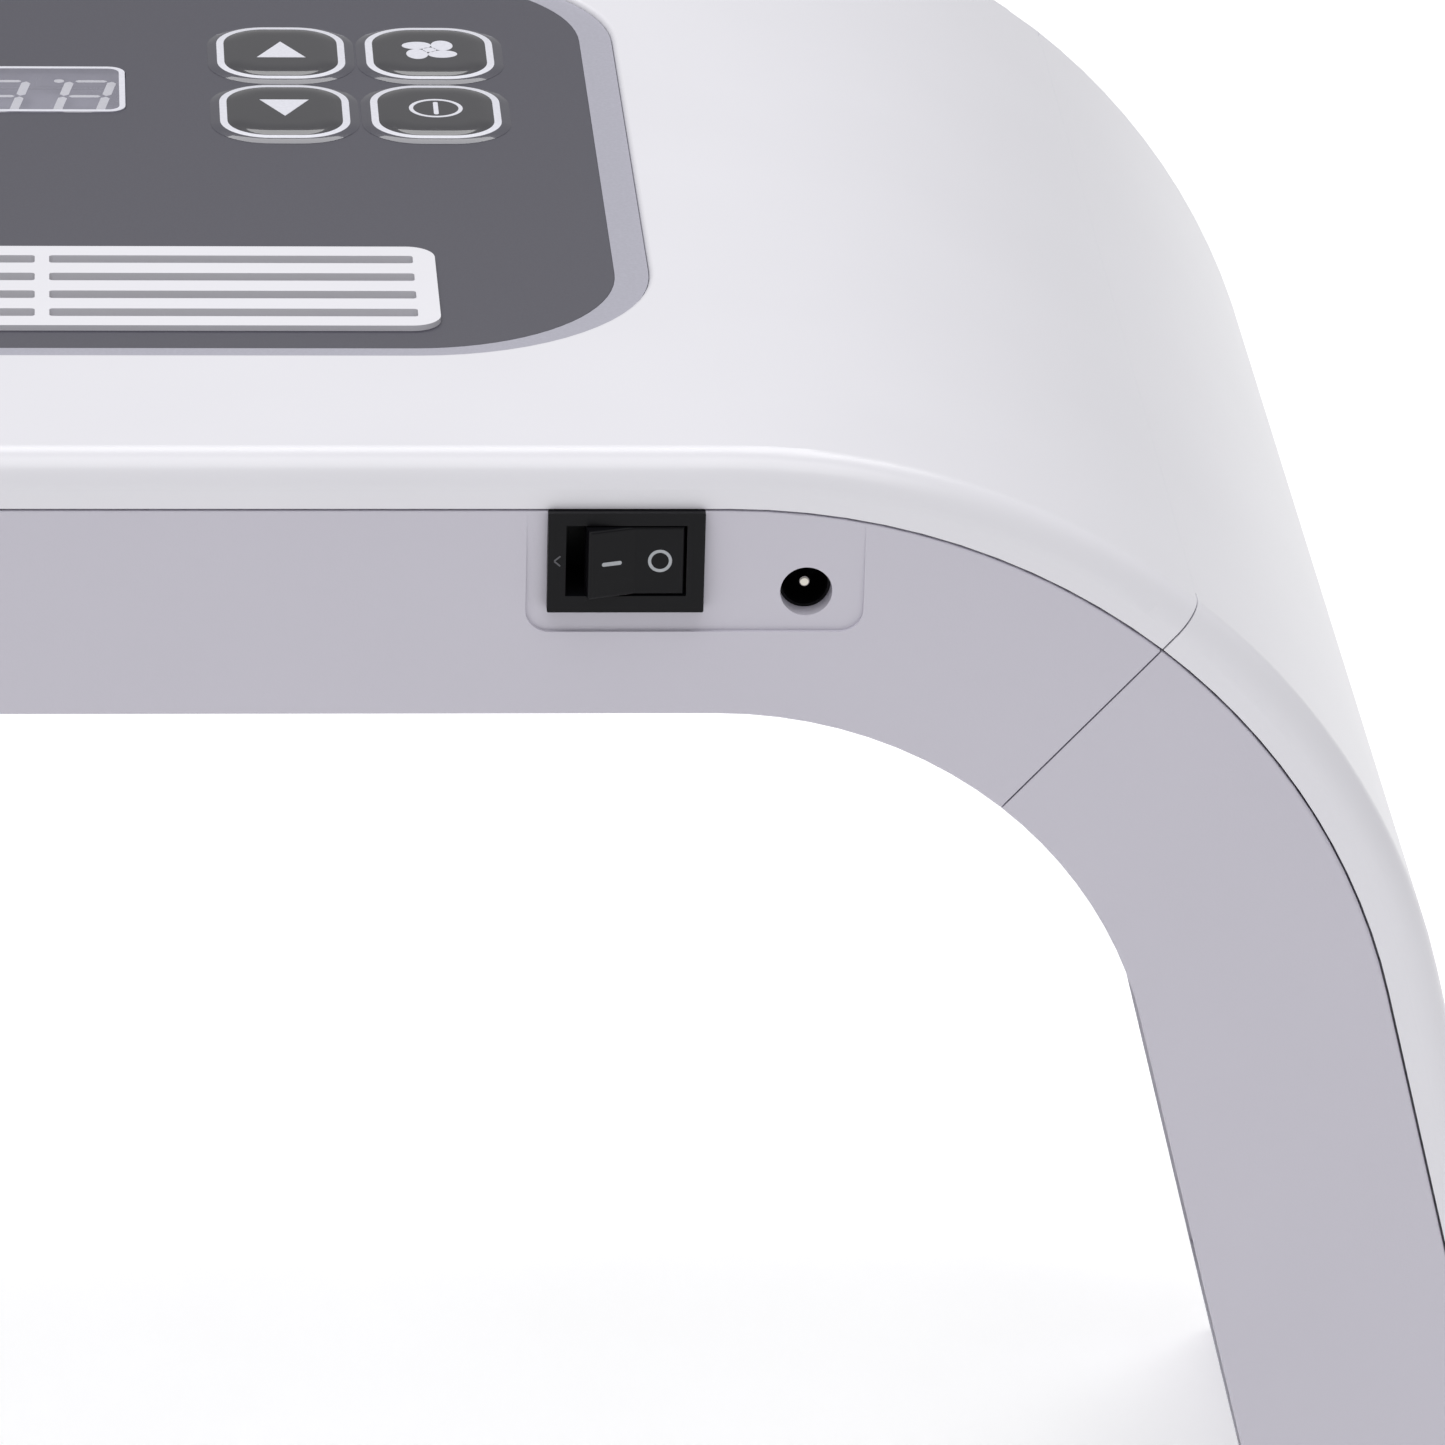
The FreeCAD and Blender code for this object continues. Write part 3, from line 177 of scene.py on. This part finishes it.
# ---------------------------------------------------------------- finishes, one for each material slot
def moulded_plastic(name, colour, roughness, grain_mm, height_mm, settings=None):
    """Injection-moulded plastic: a slow drift of tone from the flow, and the fine grain of the tool."""
    material, shader = finish_of(name, {"IOR": 1.53, **(settings or {})})
    flow = spots(material, "ShaderNodeTexNoise", 38, {"Detail": 2.0})
    tinted(material, flow.outputs["Fac"], shader, colour, lighter(colour, 1.05))
    grain = spots(material, "ShaderNodeTexNoise", grain_mm, {"Detail": 3.0})
    link(material, ranged(material, grain.outputs["Fac"], *roughness), shader, "Roughness")
    bumped(material, shader, grain.outputs["Fac"], 0.6, height_mm)
    return material


def printed_film(name, colour, roughness, height_mm):
    """Screen-printed polyester film: pigment specks, and a velvet emboss that softens the light."""
    material, shader = finish_of(name, {"IOR": 1.58})
    specks = spots(material, "ShaderNodeTexVoronoi", 0.5)
    tinted(material, specks.outputs["Distance"], shader, colour, lighter(colour, 1.12))
    emboss = spots(material, "ShaderNodeTexNoise", 0.22, {"Detail": 2.0})
    link(material, ranged(material, emboss.outputs["Fac"], *roughness), shader, "Roughness")
    bumped(material, shader, emboss.outputs["Fac"], 0.5, height_mm)
    return material


def smoked_acrylic():
    """Smoked polished acrylic over the display: grey in its body, clear enough to show the digits below."""
    material, shader = finish_of("smoked_acrylic", {"IOR": 1.49, "Roughness": 0.08})
    haze = spots(material, "ShaderNodeTexNoise", 5.0)
    tinted(material, haze.outputs["Fac"], shader, linear("#B4B3C1"), linear("#BAB9C7"))
    link(material, ranged(material, haze.outputs["Fac"], 0.4, 0.46), shader, "Alpha")
    return material


def clear_acrylic():
    """Polished clear sheet over the LEDs, with the faint waviness of extruded sheet."""
    material, shader = finish_of("clear_acrylic", {
        "Base Color": linear("#E4EAEE"), "IOR": 1.49, "Roughness": 0.03,
    })
    wave = spots(material, "ShaderNodeTexNoise", 24)
    link(material, ranged(material, wave.outputs["Fac"], 0.07, 0.12), shader, "Alpha")
    bumped(material, shader, wave.outputs["Fac"], 0.3, 0.02)
    return material


def led_epoxy():
    """Water-clear epoxy of an LED: bright and slightly milky, so that the die's light spreads."""
    material, shader = finish_of("led_epoxy", {
        "IOR": 1.52, "Roughness": 0.12, "Transmission Weight": 0.15, "Subsurface Weight": 0.3,
        "Subsurface Scale": MM,
    })
    milk = spots(material, "ShaderNodeTexNoise", 1.5)
    tinted(material, milk.outputs["Fac"], shader, linear("#EDEDE6"), linear("#FBFBF7"))
    return material


def circuit_board(name, mask, trace, pitch_mm):
    """Solder mask over copper: raised tracks and round pads, a little lighter, under a glossy lacquer."""
    material, shader = finish_of(name, {"IOR": 1.5, "Roughness": 0.3, "Coat Weight": 0.4})
    tracks = spots(material, "ShaderNodeTexBrick", pitch_mm, {
        "Mortar Size": 0.03, "Brick Width": 1.6, "Row Height": 0.5, "Color1": (0, 0, 0, 1),
        "Color2": (0, 0, 0, 1), "Mortar": (1, 1, 1, 1),
    })
    pads = spots(material, "ShaderNodeTexVoronoi", pitch_mm, {"Randomness": 0.6})
    pad = add(material, "ShaderNodeMath", {"operation": "LESS_THAN", 1: 0.14}, {0: pads.outputs["Distance"]})
    both = add(material, "ShaderNodeMath", {"operation": "MAXIMUM"},
               {0: pad.outputs[0], 1: tracks.outputs["Color"]})
    tinted(material, both.outputs[0], shader, linear(mask), linear(trace))
    bumped(material, shader, both.outputs[0], 0.5, 0.04)
    return material


def nickel_plate():
    """Bright nickel on brass contacts: a clean mirror with a faint rolled grain."""
    material, shader = finish_of("nickel_plate", {"Base Color": linear("#C9C5BC"), "Metallic": 1.0})
    grain = spots(material, "ShaderNodeTexNoise", 0.4, stretch=(1, 0.08, 1))
    link(material, ranged(material, grain.outputs["Fac"], 0.12, 0.26), shader, "Roughness")
    return material


def zinc_steel():
    """Zinc-plated pressed steel: a satin metal with the cloudy spangle and rolling lines of plated sheet."""
    material, shader = finish_of("zinc_steel", {"Metallic": 1.0})
    cloud = spots(material, "ShaderNodeTexVoronoi", 2.2)
    tinted(material, cloud.outputs["Distance"], shader, linear("#B4B6BA"), linear("#C7C8CA"))
    rolled = spots(material, "ShaderNodeTexNoise", 0.3, stretch=(1, 0.05, 1))
    link(material, ranged(material, rolled.outputs["Fac"], 0.26, 0.42), shader, "Roughness")
    bumped(material, shader, rolled.outputs["Fac"], 0.3, 0.01)
    return material


def foot_rubber():
    """Moulded grey rubber: matt, with a powdery bloom and a coarse non-slip grain."""
    material, shader = finish_of("foot_rubber", {"IOR": 1.5, "Sheen Weight": 0.2})
    bloom = spots(material, "ShaderNodeTexNoise", 6.0)
    tinted(material, bloom.outputs["Fac"], shader, linear("#7F7E84"), linear("#93929A"))
    grain = spots(material, "ShaderNodeTexNoise", 0.5, {"Detail": 3.0})
    link(material, ranged(material, grain.outputs["Fac"], 0.7, 0.9), shader, "Roughness")
    bumped(material, shader, grain.outputs["Fac"], 0.7, 0.06)
    return material


def domed_resin(name, colour):
    """Clear poured resin over printed film: the ink shows under a wet, mirror-smooth skin."""
    material, shader = finish_of(name, {
        "IOR": 1.5, "Specular IOR Level": 0.2, "Roughness": 0.3, "Coat Weight": 1.0, "Coat Roughness": 0.04,
    })
    ink = spots(material, "ShaderNodeTexNoise", 0.6)
    tinted(material, ink.outputs["Fac"], shader, colour, lighter(colour, 1.2))
    swell = spots(material, "ShaderNodeTexNoise", 6.0)
    bumped(material, shader, swell.outputs["Fac"], 0.25, 0.02)
    return material


def slot_finishes(look):
    """The finish of every material slot of the CAD nodes."""
    shell = look.shell_colour
    return {
        "white_abs": moulded_plastic("glossy_white_abs", shell, (0.26, 0.34), 0.5, 0.004),
        "housing_abs": moulded_plastic("textured_grey_white_abs", look.housing_colour, (0.42, 0.56), 0.35,
                                       0.02),
        "border_print": printed_film("silver_border_print", look.border_colour, (0.3, 0.38), 0.004),
        "overlay_film": printed_film("velvet_overlay_film", look.overlay_colour, (0.42, 0.52), 0.008),
        "vent_abs": moulded_plastic("satin_vent_abs", shell, (0.34, 0.42), 0.4, 0.006),
        "window_lens": smoked_acrylic(),
        "display_black": moulded_plastic("grey_display_reflector", linear("#7C7B86"), (0.4, 0.5), 0.3,
                                         0.01),
        "green_board": circuit_board("green_solder_mask", "#15502F", "#2C7A4A", 4.0),
        "black_parts": moulded_plastic("black_moulded_epoxy", linear("#19191B"), (0.4, 0.55), 0.2,
                                       0.01),
        "clear_acrylic": clear_acrylic(),
        "white_board": circuit_board("white_solder_mask", "#EDEDEC", "#E2E2DE", 14.0),
        "led_epoxy": led_epoxy(),
        "black_nylon": moulded_plastic("satin_black_nylon", linear("#0F0F12"), (0.3, 0.42), 0.3,
                                       0.008, {"Specular IOR Level": 0.14}),
        "nickel_contact": nickel_plate(),
        "lead_pvc": moulded_plastic("red_pvc_insulation", linear("#A8242A"), (0.3, 0.4), 0.8,
                                    0.004, {"Coat Weight": 0.2, "Coat Roughness": 0.12}),
        "zinc_steel": zinc_steel(),
        "foot_rubber": foot_rubber(),
        "key_epoxy": domed_resin("domed_key_resin", look.key_colour),
    }


# ---------------------------------------------------------------- modelling tools
def start(operator, **settings):
    """Run a primitive operator with nothing else selected; the new object has its place in its mesh."""
    bpy.ops.object.select_all(action="DESELECT")
    operator(**settings)
    bpy.ops.object.transform_apply(location=True, rotation=True, scale=True)
    return bpy.context.object


def picked(*pieces):
    """Select only these pieces, the first of them active."""
    bpy.ops.object.select_all(action="DESELECT")
    for piece in pieces:
        piece.select_set(True)
    bpy.context.view_layer.objects.active = pieces[0]


def choose(made, kind, test):
    """Edit a mesh with only the vertices, edges or faces selected whose middle and direction pass a test."""
    bpy.ops.object.mode_set(mode="OBJECT")
    mesh = made.data
    bpy.context.tool_settings.mesh_select_mode = [kind == name for name in ("VERTEX", "EDGE", "FACE")]
    for elements in (mesh.vertices, mesh.edges, mesh.polygons):
        elements.foreach_set("select", [False] * len(elements))
    if kind == "VERTEX":
        for vertex in mesh.vertices:
            vertex.select = test(vertex.co, vertex.normal)
    elif kind == "EDGE":
        for edge in mesh.edges:
            low, high = (mesh.vertices[number].co for number in edge.vertices)
            edge.select = test((low + high) / 2, (high - low).normalized())
    else:
        for face in mesh.polygons:
            face.select = test(face.center, face.normal)
    bpy.ops.object.mode_set(mode="EDIT")


def everything(middle, direction):
    """Select all."""
    return True


def facing_up(middle, normal):
    """Select what lies flat and faces up."""
    return normal.z > 0.99


def upright(middle, direction):
    """Select edges that stand on end."""
    return abs(direction.z) > 0.99


def done():
    """Leave edit mode."""
    bpy.ops.object.mode_set(mode="OBJECT")


def bar(x, y, z, length, width, turn=0.0, cut=0.3):
    """A flat bar with cut corners, turned about its middle."""
    made = start(bpy.ops.mesh.primitive_plane_add, size=MM, location=(0, 0, z * MM))
    choose(made, "FACE", everything)
    bpy.ops.transform.resize(value=(length, width, 1), center_override=(0, 0, z * MM))
    choose(made, "VERTEX", everything)
    bpy.ops.mesh.bevel(offset=cut * width * MM, affect="VERTICES")
    done()
    return placed(made, (x, y, 0), (0, 0, turn))


def disc(x, y, z, radius, corners=48, turn=0.0, stretch=1.0):
    """A flat outline with equal corners, stretched along X and turned about its middle."""
    made = start(bpy.ops.mesh.primitive_circle_add, vertices=corners, radius=radius * MM,
                 fill_type="NGON", location=(0, 0, z * MM))
    choose(made, "FACE", everything)
    bpy.ops.transform.resize(value=(stretch, 1, 1), center_override=(0, 0, z * MM))
    done()
    return placed(made, (x, y, 0), (0, 0, turn))


def hollowed(made, line):
    """Leave only a line of this width along the outline of a flat piece."""
    choose(made, "FACE", everything)
    bpy.ops.mesh.inset(thickness=line * MM)
    bpy.ops.mesh.delete(type="FACE")
    done()
    return made


def eased(made, radius, segments=6):
    """Round the corners of a flat piece."""
    choose(made, "VERTEX", everything)
    bpy.ops.mesh.bevel(offset=radius * MM, segments=segments, affect="VERTICES")
    done()
    return made


def placed(made, at, turn=(0, 0, 0)):
    """Turn a piece about the origin, in degrees, and move it, in millimetres, with both kept in the mesh."""
    picked(made)
    made.rotation_euler = [math.radians(angle) for angle in turn]
    made.location = Vector(at) * MM
    bpy.ops.object.transform_apply(location=True, rotation=True, scale=True)
    return made


def copied(made, shift):
    """A twin with a mesh of its own, moved by shift in millimetres."""
    picked(made)
    bpy.ops.object.duplicate(linked=False)
    return placed(bpy.context.object, shift)


def joined(pieces):
    """One object from several."""
    picked(*pieces)
    if len(pieces) > 1:
        bpy.ops.object.join()
    return pieces[0]


def thickened(made, thickness):
    """Give a flat piece a thickness on the side it faces."""
    bpy.context.view_layer.objects.active = made
    layer = made.modifiers.new("ink", "SOLIDIFY")
    layer.thickness = thickness
    layer.offset = 1.0
    bpy.ops.object.modifier_apply(modifier=layer.name)
    return made


def finished(made, name, body, finishes):
    """Name a piece, give it its finishes and let it ride on its body."""
    if not made.data.polygons:
        raise RuntimeError(f"{name} has no faces")
    made.name = made.data.name = name
    made.data.materials.clear()
    for finish in finishes:
        made.data.materials.append(finish)
    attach(made, body)
    return made


def library(name, maker, *values):
    """A finish that is made once and then shared."""
    return bpy.data.materials.get(name) or maker(name, *values)


def white_ink(look):
    """The ink of rings, icons and the window's border."""
    return library("white_screen_ink", printed_film, look.ink_colour, (0.34, 0.44), 0.004)


# ---------------------------------------------------------------- marks: flat outlines, in millimetres
def mark_up(x, y, z):
    """A triangle that points away."""
    return [disc(x, y - 1.2, z, 4.6, 3, 0.0, 0.9)]


def mark_down(x, y, z):
    """A triangle that points to the front."""
    return [disc(x, y + 1.2, z, 4.6, 3, 180.0, 0.9)]


def mark_power(x, y, z):
    """A circle with an upright line."""
    return [hollowed(disc(x, y, z, ICON_RADIUS), ICON_LINE), bar(x, y, z, 5.2, 0.7, 90)]


def mark_fan(x, y, z):
    """Four broad blades around a small hub."""
    blades = [disc(x, y, z, 1.0, 20)]
    for turn in range(45, 360, 90):
        out = 2.65 * Vector((math.cos(math.radians(turn)), math.sin(math.radians(turn))))
        blades.append(disc(x + out.x, y + out.y, z, 1.6, 28, turn + 50, 1.35))
    return blades


def mark_timer(x, y, z):
    """A clock face with two hands."""
    return [hollowed(disc(x, y, z, ICON_RADIUS), ICON_LINE), bar(x, y + 1.1, z, 2.4, ICON_LINE, 90),
            bar(x + 1.1, y - 0.4, z, 2.0, ICON_LINE, 0)]


def mark_colour(x, y, z):
    """A drop."""
    drop = disc(x, y - 0.8, z, 2.7, 40)
    choose(drop, "VERTEX", lambda place, normal: place.y > (y + 1.88) * MM)
    bpy.ops.transform.translate(value=(0, 2.3 * MM, 0))
    done()
    return [drop]


def mark_mode(x, y, z):
    """Three level bars."""
    return [bar(x, y + step, z, 6.4, 1.2, 0) for step in (-2.3, 0, 2.3)]


def mark_pulse(x, y, z):
    """Five upright bars, tallest in the middle."""
    bars = ((-3, 2.2), (-1.5, 5.4), (0, 7.4), (1.5, 4), (3, 2))
    return [bar(x + step, y, z, height, 0.9, 90) for step, height in bars]


MARKS = {
    "key_up": mark_up, "key_down": mark_down, "key_power": mark_power, "key_fan": mark_fan,
    "key_timer": mark_timer, "key_colour": mark_colour, "key_mode": mark_mode, "key_pulse": mark_pulse,
}


# ---------------------------------------------------------------- settings
def length(name, description, default_mm):
    """A size that a user may change."""
    return FloatProperty(name=name, description=description, default=default_mm * MM,
                         subtype="DISTANCE", unit="LENGTH")


def colour(name, description, code):
    """A colour that a user may change."""
    return FloatVectorProperty(name=name, description=description, default=linear(code),
                               subtype="COLOR", size=4, min=0.0, max=1.0)


class ArchLook(bpy.types.PropertyGroup):
    """Sizes and colours of the visual pieces"""
    key_width: length("Key width", "Outline of a domed key along X", 21.6)
    key_length: length("Key length", "Outline of a domed key along Y", 25.25)
    key_corner: length("Key corner", "Corner radius of a domed key", 8.6)
    ring_line: length("Ring line", "Width of the printed ring on a key", 1.05)
    ink_height: length("Ink height", "Thickness of printed marks", 0.03)
    window_width: length("Window print width", "Outline of the display's printed border along X", 24.2)
    window_length: length("Window print length", "Outline of the display's printed border along Y", 19.3)
    window_line: length("Window print line", "Line width of the display's printed border", 0.85)
    digit_height: length("Digit height", "Height of a seven-segment digit", 14.2)
    digit_width: length("Digit width", "Distance between a digit's upright segments", 6.2)
    segment_line: length("Segment line", "Width of a digit's segments", 1.3)
    shell_colour: colour("Shell", "White of the covers and the vent", "#E0DFE5")
    housing_colour: colour("Housing", "Grey-white of the housings", "#C4C1CC")
    overlay_colour: colour("Overlay", "Dark ink of the control panel", "#3B3A46")
    border_colour: colour("Border", "Silver ink around the control panel", "#A3A2AE")
    key_colour: colour("Keys", "Dark ink under the resin of the keys", "#1F1E26")
    ink_colour: colour("Marks", "White ink of rings and icons", "#D3D3DC")
    segment_colour: colour("Segments", "Unlit segments of the display", "#F2F2F8")
    mark_colour: colour("Switch marks", "Ink of the marks on the rocker", "#A0A3A8")
    floor_colour: colour("Floor", "Studio floor", "#F6F6F6")


# ---------------------------------------------------------------- operators
class ARCH_OT_finishes(bpy.types.Operator):
    """Give every CAD node the finish of its material slot"""
    bl_idname = "arch.finishes"
    bl_label = "CAD finishes"
    bl_options = {"REGISTER", "UNDO"}

    def execute(self, context):
        look = context.scene.light_arch
        finishes = slot_finishes(look)
        for part in frame["record"]["subparts"]:
            materials = NODES[part["node"]].data.materials
            materials.clear()
            materials.append(finishes[part["material_slot"]])
        return {"FINISHED"}


class ARCH_OT_keys(bpy.types.Operator):
    """Build the eight domed keys with their printed rings"""
    bl_idname = "arch.keys"
    bl_label = "Domed keys"
    bl_options = {"REGISTER", "UNDO"}

    def execute(self, context):
        look = context.scene.light_arch
        x, y = KEY_SPOTS["key_up"]
        key = start(bpy.ops.mesh.primitive_cube_add, size=1,
                    location=(x * MM, y * MM, (DOME_FOOT + DOME_EDGE / 2) * MM),
                    scale=(look.key_width, look.key_length, DOME_EDGE * MM))
        choose(key, "EDGE", upright)
        bpy.ops.mesh.bevel(offset=look.key_corner, segments=14, affect="EDGES")
        choose(key, "FACE", facing_up)
        for rise in SKIRT_RISES:
            bpy.ops.mesh.inset(thickness=SKIRT_STEP * MM, depth=rise * MM)
        bpy.ops.mesh.inset(thickness=look.ring_line, depth=RING_RISE * MM)
        for step, rise in CROWN:
            bpy.ops.mesh.inset(thickness=step * MM, depth=rise * MM)
        done()
        bpy.ops.object.shade_smooth_by_angle(angle=math.radians(40))
        ring_level = (DOME_FOOT + DOME_EDGE + sum(SKIRT_RISES) + RING_RISE / 2) * MM
        skirt = library("resin_skirt", domed_resin, look.overlay_colour)
        pieces = {"key_up": key}
        for name, (other_x, other_y) in KEY_SPOTS.items():
            if name != "key_up":
                pieces[name] = copied(key, (other_x - x, other_y - y, 0))
        for name, piece in pieces.items():
            resin = bpy.data.materials["domed_key_resin"]
            finished(piece, f"{name}_dome", "bridge", [resin, white_ink(look), skirt])
            for face in piece.data.polygons:
                above = (face.center.z - ring_level) / MM
                face.material_index = 1 if abs(above) < RING_RISE / 3 else 2 if above < 0 else 0
            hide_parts(name)
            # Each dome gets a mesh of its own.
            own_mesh(piece)
        return {"FINISHED"}


class ARCH_OT_key_marks(bpy.types.Operator):
    """Print the icons on the keys"""
    bl_idname = "arch.key_marks"
    bl_label = "Key icons"
    bl_options = {"REGISTER", "UNDO"}

    def execute(self, context):
        look = context.scene.light_arch
        for name, outline in MARKS.items():
            x, y = KEY_SPOTS[name]
            mark = thickened(joined(outline(x, y, DOME_FOOT + DOME_HEIGHT)), look.ink_height)
            finished(mark, f"{name}_icon", name, [white_ink(look)])
        return {"FINISHED"}


class ARCH_OT_window_print(bpy.types.Operator):
    """Print the white border around the display window"""
    bl_idname = "arch.window_print"
    bl_label = "Window border"
    bl_options = {"REGISTER", "UNDO"}

    def execute(self, context):
        look = context.scene.light_arch
        x, y = WINDOW_SPOT
        line = start(bpy.ops.mesh.primitive_plane_add, size=1, location=(0, 0, (OVERLAY_TOP + 0.15) * MM))
        choose(line, "FACE", everything)
        bpy.ops.transform.resize(value=(look.window_width, look.window_length, 1))
        line = hollowed(eased(line, 2.5), look.window_line / MM)
        placed(line, (x, y, 0))
        line = thickened(line, look.ink_height)
        finished(line, "window_border", "bridge", [white_ink(look)])
        return {"FINISHED"}


class ARCH_OT_digits(bpy.types.Operator):
    """Build the two seven-segment digits and their points inside the window"""
    bl_idname = "arch.digits"
    bl_label = "Display digits"
    bl_options = {"REGISTER", "UNDO"}

    def execute(self, context):
        look = context.scene.light_arch
        ink = library("unlit_segment_resin", printed_film, look.segment_colour, (0.3, 0.4), 0.004)
        height, width, line = look.digit_height / MM, look.digit_width / MM, look.segment_line / MM
        arm = (height - line) / 2
        skew = math.tan(math.radians(DIGIT_LEAN))
        segments = []
        for row in (-1, 0, 1):
            segments.append(bar(row * arm * skew, row * arm, DIGIT_LEVEL, width - line - 0.3, 0.7 * line,
                                cut=0.45))
        for row in (-0.5, 0.5):
            for side in (-0.5, 0.5):
                segments.append(bar(side * width + row * arm * skew, row * arm, DIGIT_LEVEL, arm - 0.4, line,
                                    90 - DIGIT_LEAN, 0.45))
        segments.append(disc(-0.5 * width - 1.6 + arm * skew, arm + 0.1, DIGIT_LEVEL, 0.75, 20))
        digit = thickened(joined(segments), look.ink_height)
        x, y = WINDOW_SPOT
        right = placed(digit, (x + DIGIT_PITCH / 2, y, 0))
        left = copied(right, (-DIGIT_PITCH, 0, 0))
        finished(right, "right_digit", "bridge", [ink])
        finished(left, "left_digit", "bridge", [ink])
        return {"FINISHED"}


class ARCH_OT_switch_marks(bpy.types.Operator):
    """Print the marks on the rocker and mould the small arrow on its bezel, painted lighter as a highlight"""
    bl_idname = "arch.switch_marks"
    bl_label = "Switch marks"
    bl_options = {"REGISTER", "UNDO"}

    def execute(self, context):
        look = context.scene.light_arch
        ink = library("grey_pad_print", printed_film, look.mark_colour, (0.4, 0.5), 0.004)
        x, y, z = ROCKER_PIVOT
        circle = hollowed(disc(0, 0, 0, 1.6), 0.42)
        placed(thickened(circle, look.ink_height), (x + 4.49, y - 7.61, z), (90, 0, 0))
        finished(circle, "rocker_circle", "rocker", [ink])
        dash = thickened(bar(0, 0, 0, 2.8, 0.55), look.ink_height)
        placed(dash, (x - 1.98, y - 8.61, z), (90, 0, ROCKER_TURN))
        finished(dash, "rocker_dash", "rocker", [ink])
        # The moulded arrow is painted a lighter grey than the black nylon around it: a painted highlight
        # where light catches its raised strokes.
        raised = library("worn_nylon_mark", printed_film, linear("#4C4C52"), (0.3, 0.4), 0.004)
        strokes = [bar(0, 0.36, 0, 1.1, 0.2, 40), bar(0, -0.36, 0, 1.1, 0.2, -40)]
        arrow = thickened(joined(strokes), 0.06 * MM)
        placed(arrow, (x - 9.2, y - 7.7, z), (90, 0, 0))
        finished(arrow, "bezel_arrow", "bridge", [raised])
        return {"FINISHED"}


class ARCH_OT_stage(bpy.types.Operator):
    """Set up the floor, the lights and the camera"""
    bl_idname = "arch.stage"
    bl_label = "Studio"
    bl_options = {"REGISTER", "UNDO"}

    def execute(self, context):
        look = context.scene.light_arch
        floor = start(bpy.ops.mesh.primitive_plane_add, size=30, location=(0, 0, FLOOR_LEVEL))
        floor.name = "floor"
        glow = {"Emission Color": look.floor_colour, "Emission Strength": AIR}
        paint = moulded_plastic("matt_floor_paint", look.floor_colour, (0.85, 0.95), 2.0, 0.01, glow)
        floor.data.materials.append(paint)
        world = bpy.data.worlds.new("studio_air")
        bpy.context.scene.world = world
        world.use_nodes = True
        sky = world.node_tree.nodes["Background"]
        sky.inputs["Color"].default_value = (1, 1, 1, 1)
        sky.inputs["Strength"].default_value = AIR
        bpy.context.scene.view_settings.view_transform = "Standard"
        for lamp in LAMPS:
            self.lamp(*lamp)
        self.camera()
        return {"FINISHED"}

    @staticmethod
    def lamp(name, at, size, power):
        """A soft box that points at the bridge."""
        bpy.ops.object.select_all(action="DESELECT")
        turn = (Vector(LAMP_AIM) - Vector(at)).to_track_quat("-Z", "Y").to_euler()
        bpy.ops.object.light_add(type="AREA", location=at, rotation=turn)
        light = bpy.context.object
        light.name = name
        light.data.shape, light.data.energy = "RECTANGLE", power
        light.data.size, light.data.size_y = size

    @staticmethod
    def camera():
        """A long lens from the front, a little above the bridge."""
        bpy.ops.object.select_all(action="DESELECT")
        roll = Quaternion((0, 0, 1), math.radians(CAMERA_ROLL))
        turn = Vector(CAMERA_AHEAD).to_track_quat("-Z", "Y") @ roll
        bpy.ops.object.camera_add(location=CAMERA_SPOT, rotation=turn.to_euler())
        camera = bpy.context.object
        camera.name = "camera"
        camera.data.sensor_width, camera.data.lens = CAMERA_SENSOR, CAMERA_LENS
        camera.data.clip_start, camera.data.clip_end = 0.1, 40
        bpy.context.scene.camera = camera


STEPS = (ARCH_OT_finishes, ARCH_OT_keys, ARCH_OT_key_marks, ARCH_OT_window_print, ARCH_OT_digits,
         ARCH_OT_switch_marks, ARCH_OT_stage)


class ARCH_PT_panel(bpy.types.Panel):
    """Sizes, colours and steps of the light arch"""
    bl_idname = "ARCH_PT_panel"
    bl_label = "Light Therapy Arch"
    bl_space_type = "VIEW_3D"
    bl_region_type = "UI"
    bl_category = "Light Arch"

    def draw(self, context):
        look = context.scene.light_arch
        for name in look.bl_rna.properties.keys():
            if name not in ("rna_type", "name"):
                self.layout.prop(look, name)
        for step in STEPS:
            self.layout.operator(step.bl_idname)


def register():
    """Add the settings, the operators and the panel."""
    for made in (ArchLook, *STEPS, ARCH_PT_panel):
        bpy.utils.register_class(made)
    bpy.types.Scene.light_arch = PointerProperty(type=ArchLook)


def unregister():
    """Take them away again."""
    del bpy.types.Scene.light_arch
    for made in (ARCH_PT_panel, *reversed(STEPS), ArchLook):
        bpy.utils.unregister_class(made)


def main():
    register()
    for step in (bpy.ops.arch.finishes, bpy.ops.arch.keys, bpy.ops.arch.key_marks, bpy.ops.arch.window_print,
                 bpy.ops.arch.digits, bpy.ops.arch.switch_marks, bpy.ops.arch.stage):
        step()


if __name__ == "__main__":
    main()
